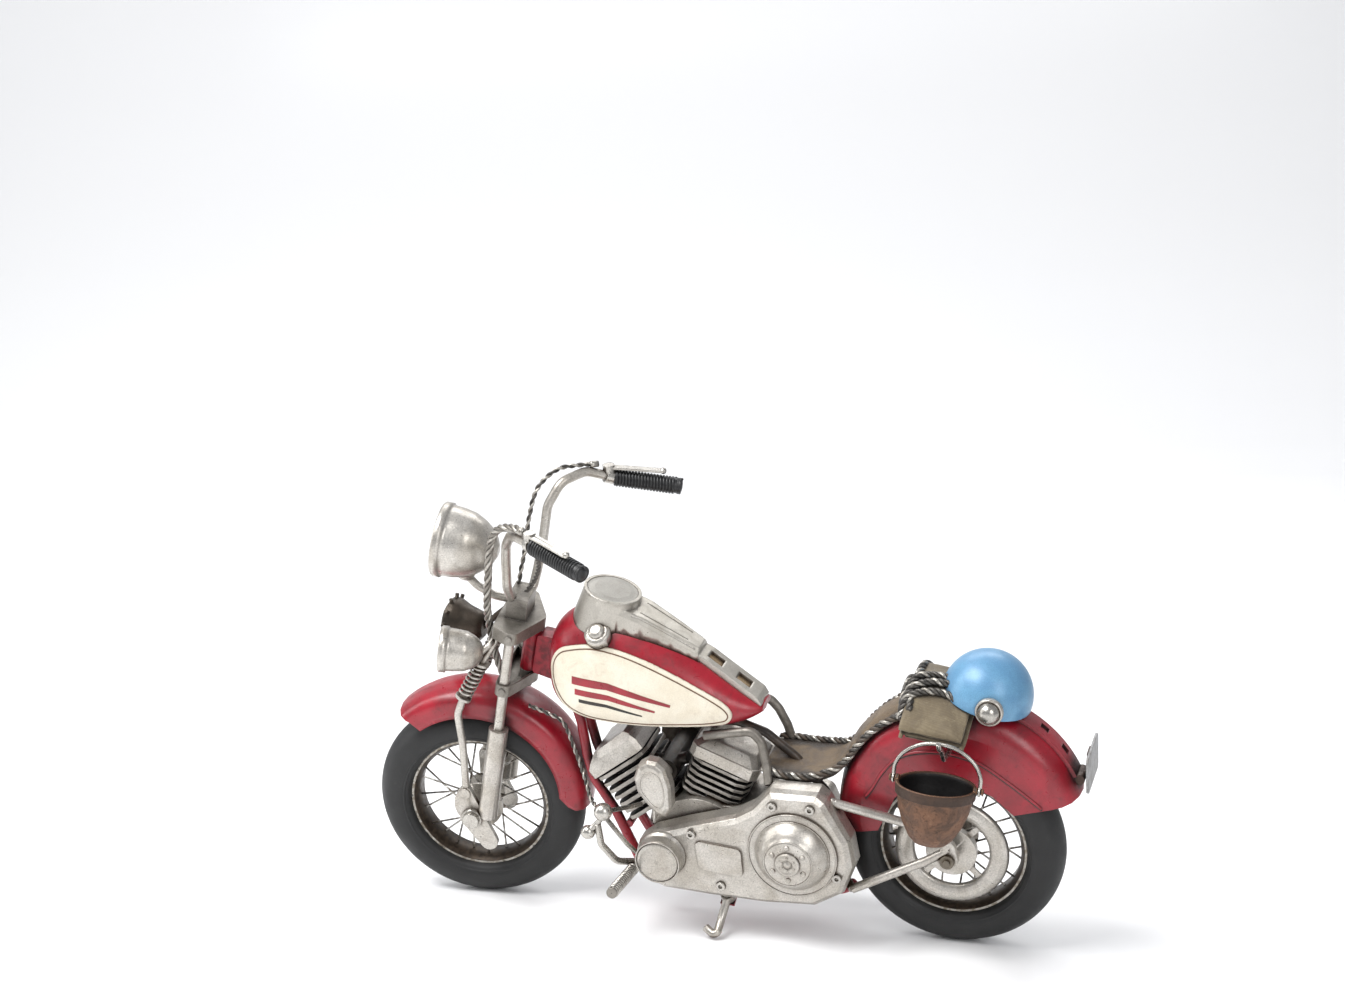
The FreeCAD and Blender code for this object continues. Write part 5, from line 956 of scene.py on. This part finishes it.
def hung(x, y, z):
    z -= 16.2
    return (BP + Vector((x * C5 + z * S5, y, -x * S5 + z * C5))) * MM


arch = [(17.05, 0, -0.6), (17.1, 0, 2.6), (16.9, 0, 5.6), (14.6, 0, 10.0), (10.6, 0, 13.4), (5.6, 0, 15.6), (0, 0, 16.2)]
arch = arch + [(-x, y, z) for x, y, z in reversed(arch[:-1])]
b = Build()
b.tube(even(spline([hung(*p) for p in arch], 16), 0.6 * MM), 0.8 * MM, 14, 0)
for s in (-1, 1):
    c0 = hung(s * 17.05, 0, 0)
    ax = (hung(1, 0, 0) - hung(0, 0, 0)).normalized()
    ring = []
    for k in range(28):
        a = 2 * math.pi * k / 28
        ring.append(hung(s * 17.05, 1.45 * math.cos(a), 1.45 * math.sin(a)))
    b.tube(ring, 0.5 * MM, 10, 0, closed=True)
b.done("bail_wire", "bail", ["steel"], "bright_steel", stands_for=("bucket_bail",))

b = Build()
for s in (-1, 1):
    a0, b0 = Vector((-131.5, s * 16.0, 29.4)), Vector((-129.8, s * 56, 37.5))
    A0, B0 = W(a0), W(b0)
    d = (B0 - A0)
    L = d.length
    d.normalize()
    b.lathe([(-1.0 * MM, 0.3 * MM), (-1.0 * MM, 1.5 * MM), (L * 0.99, 1.5 * MM), (L * 0.99, 0.2 * MM)], A0, d, 20, 1)
    b.lathe([(L * 0.258, 1.4 * MM), (L * 0.26, 2.5 * MM), (L * 0.283, 2.6 * MM), (L * 0.287, 1.4 * MM)], A0, d, 24, 0)
    b.lathe([(L * 0.985, 0.5 * MM), (L * 0.985, 2.1 * MM), (L * 1.006, 2.3 * MM), (L * 1.012, 1.9 * MM), (L * 1.012, 0.2 * MM)], A0, d, 24, 2)
    up0 = Vector((0, 0, 1))
    e1 = (up0 - d * up0.dot(d)).normalized()
    e2 = d.cross(e1)
    turns = 15
    line = []
    for i in range(turns * 20 + 1):
        w = 2 * math.pi * i / 20
        line.append(A0 + d * (L * (0.3 + 0.675 * i / (turns * 20))) + (e1 * math.cos(w) + e2 * math.sin(w)) * 2.02 * MM)
    b.tube(line, 0.54 * MM, 8, 0)
    b.tube(even(spline([W((-131.5, s * 16.0, 29.4)), W((-131.4, s * 14.0, 28.2)), W((-131.2, s * 12.2, 27.0))], 8), 0.5 * MM), 1.5 * MM, 14, 1)
b.done("wound_pegs", "frame", ["steel", "black", "silver_dark"], "silver_paint", stands_for=("foot_pegs",))

# ------------------------------------------------------------------ small plates in the console strip, rings on the derby cover
b = Build()
for cx in (-97.3, -86.0):
    verts, faces = [], []
    for i in range(7):
        for j in range(7):
            x, y = cx - 2.95 + 5.9 * i / 6, -2.95 + 5.9 * j / 6
            hit, nor, _, _ = T["fuel_tank"].ray_cast(W((x, y, 170)), WD((0, 0, -1)), 0.2)
            if hit is None:
                continue
            verts.append(hit + WD((0, 0, 1)) * 0.5 * MM)
    if len(verts) == 49:
        for i in range(6):
            for j in range(6):
                faces.append((i * 7 + j, (i + 1) * 7 + j, (i + 1) * 7 + j + 1, i * 7 + j + 1))
        b.add(verts, faces, 0)
b.done("strip_windows", "frame", ["tan"], "console_bronze")

b = Build()
for rr, yy, wr in ((15.3, -31.3, 0.32), (9.9, -38.0, 0.30), (4.9, -38.7, 0.34), (1.9, -38.95, 0.26), (18.3, -31.0, 0.3)):
    ring = [W((-60.7 + rr * math.cos(2 * math.pi * k / 72), yy, 48.2 + rr * math.sin(2 * math.pi * k / 72))) for k in range(72)]
    b.tube(ring, wr * MM, 8, 0, closed=True)
ring = [W((-116.3 + 9.2 * math.cos(2 * math.pi * k / 60), -37.2, 42.3 + 9.2 * math.sin(2 * math.pi * k / 60))) for k in range(60)]
b.tube(ring, 0.35 * MM, 8, 0, closed=True)
b.lathe([(0, 5.2 * MM), (0.9 * MM, 5.1 * MM), (1.0 * MM, 4.2 * MM), (0.7 * MM, 3.9 * MM), (0.75 * MM, 1.2 * MM), (1.1 * MM, 0.9 * MM), (1.2 * MM, 0)], W((-60.7, -38.3, 48.2)), WD((0, -1, 0)), 48, 0)
for k in range(6):
    a = math.pi * (k / 3 + 1 / 6)
    b.lathe([(1.0 * MM * math.sin(t), 1.15 * MM * math.cos(t)) for t in (0, 0.3, 0.6, 0.9, 1.2, 1.5)], W((-60.7 + 7.3 * math.cos(a), -38.1, 48.2 + 7.3 * math.sin(a))), WD((0, -1, 0)), 16, 0)
b.done("pressed_rings", "frame", ["silver"], "silver_paint")

# ------------------------------------------------------------------ stage, light, camera
def stage():
    me = bpy.data.meshes.new("studio_floor")
    v, f = [], []
    prof = [(-1.6, 0.0), (-0.8, 0.0), (0.4, 0.0), (1.1, 0.0)] + [(1.1 + 0.7 * math.sin(a), 0.7 - 0.7 * math.cos(a)) for a in [math.pi / 2 * k / 10 for k in range(1, 11)]] + [(1.8, 2.6)]
    for i, x in enumerate((-3.2, 3.2)):
        for y, z in prof:
            v.append((x * 0.95 + y * -0.29, y * 0.95 + x * 0.30, z))
    n = len(prof)
    for k in range(n - 1):
        f.append((k, k + 1, n + k + 1, n + k))
    me.from_pydata(v, [], f)
    for p in me.polygons:
        p.use_smooth = True
    o = bpy.data.objects.new("studio_floor", me)
    bpy.context.scene.collection.objects.link(o)
    m = Mat("pale_floor")
    n1 = m.noise(1.2, 2, 0.5)
    base = m.mix(m.ramp(n1, 0.3, 0.7), (0.97, 0.97, 0.97), (0.96, 0.96, 0.965))
    m.final(base, m.ramp(n1, 0.3, 0.7, 0.22, 0.26), 0.0, None)
    m.b.inputs["Specular IOR Level"].default_value = 0.45
    me.materials.append(m.m)


def area(name, loc, target, size, power, col=(1, 1, 1)):
    l = bpy.data.lights.new(name, "AREA")
    l.shape = "RECTANGLE"
    l.size, l.size_y = size
    l.energy = power
    l.color = col
    o = bpy.data.objects.new(name, l)
    o.location = loc
    o.rotation_euler = (Vector(target) - Vector(loc)).to_track_quat("-Z", "Y").to_euler()
    bpy.context.scene.collection.objects.link(o)


stage()
area("key", (-0.50, -0.50, 1.15), (0, 0, 0.08), (0.9, 0.6), 21)
area("side", (0.95, -0.95, 0.70), (0, 0, 0.08), (0.5, 0.8), 6)
area("front", (-1.2, -0.35, 0.55), (0, 0, 0.1), (0.35, 0.8), 4)
area("back", (-0.2, 1.0, 1.3), (0, 0, 0.08), (1.4, 0.6), 9)
world = bpy.data.worlds.new("studio")
bpy.context.scene.world = world
world.use_nodes = True
bg = world.node_tree.nodes["Background"]
bg.inputs[0].default_value = (0.93, 0.95, 1.0, 1)
bg.inputs[1].default_value = 0.42
bpy.context.scene.view_settings.view_transform = "Standard"

cam = bpy.data.cameras.new("camera")
cam.sensor_width = 36.0
cam.lens = 36.0 * 2600 / 1345
cam.clip_start = 0.01
co = bpy.data.objects.new("camera", cam)
back = Vector((0.30001, -0.93612, 0.18344)).normalized()
right = Vector((0.9523, 0.3052, 0.0)).normalized()
up = back.cross(right).normalized()
right = up.cross(back).normalized()
co.matrix_world = Matrix(((right.x, up.x, back.x, 0.29689), (right.y, up.y, back.y, -0.98815), (right.z, up.z, back.z, 0.37358), (0, 0, 0, 1)))
bpy.context.scene.collection.objects.link(co)
bpy.context.scene.camera = co
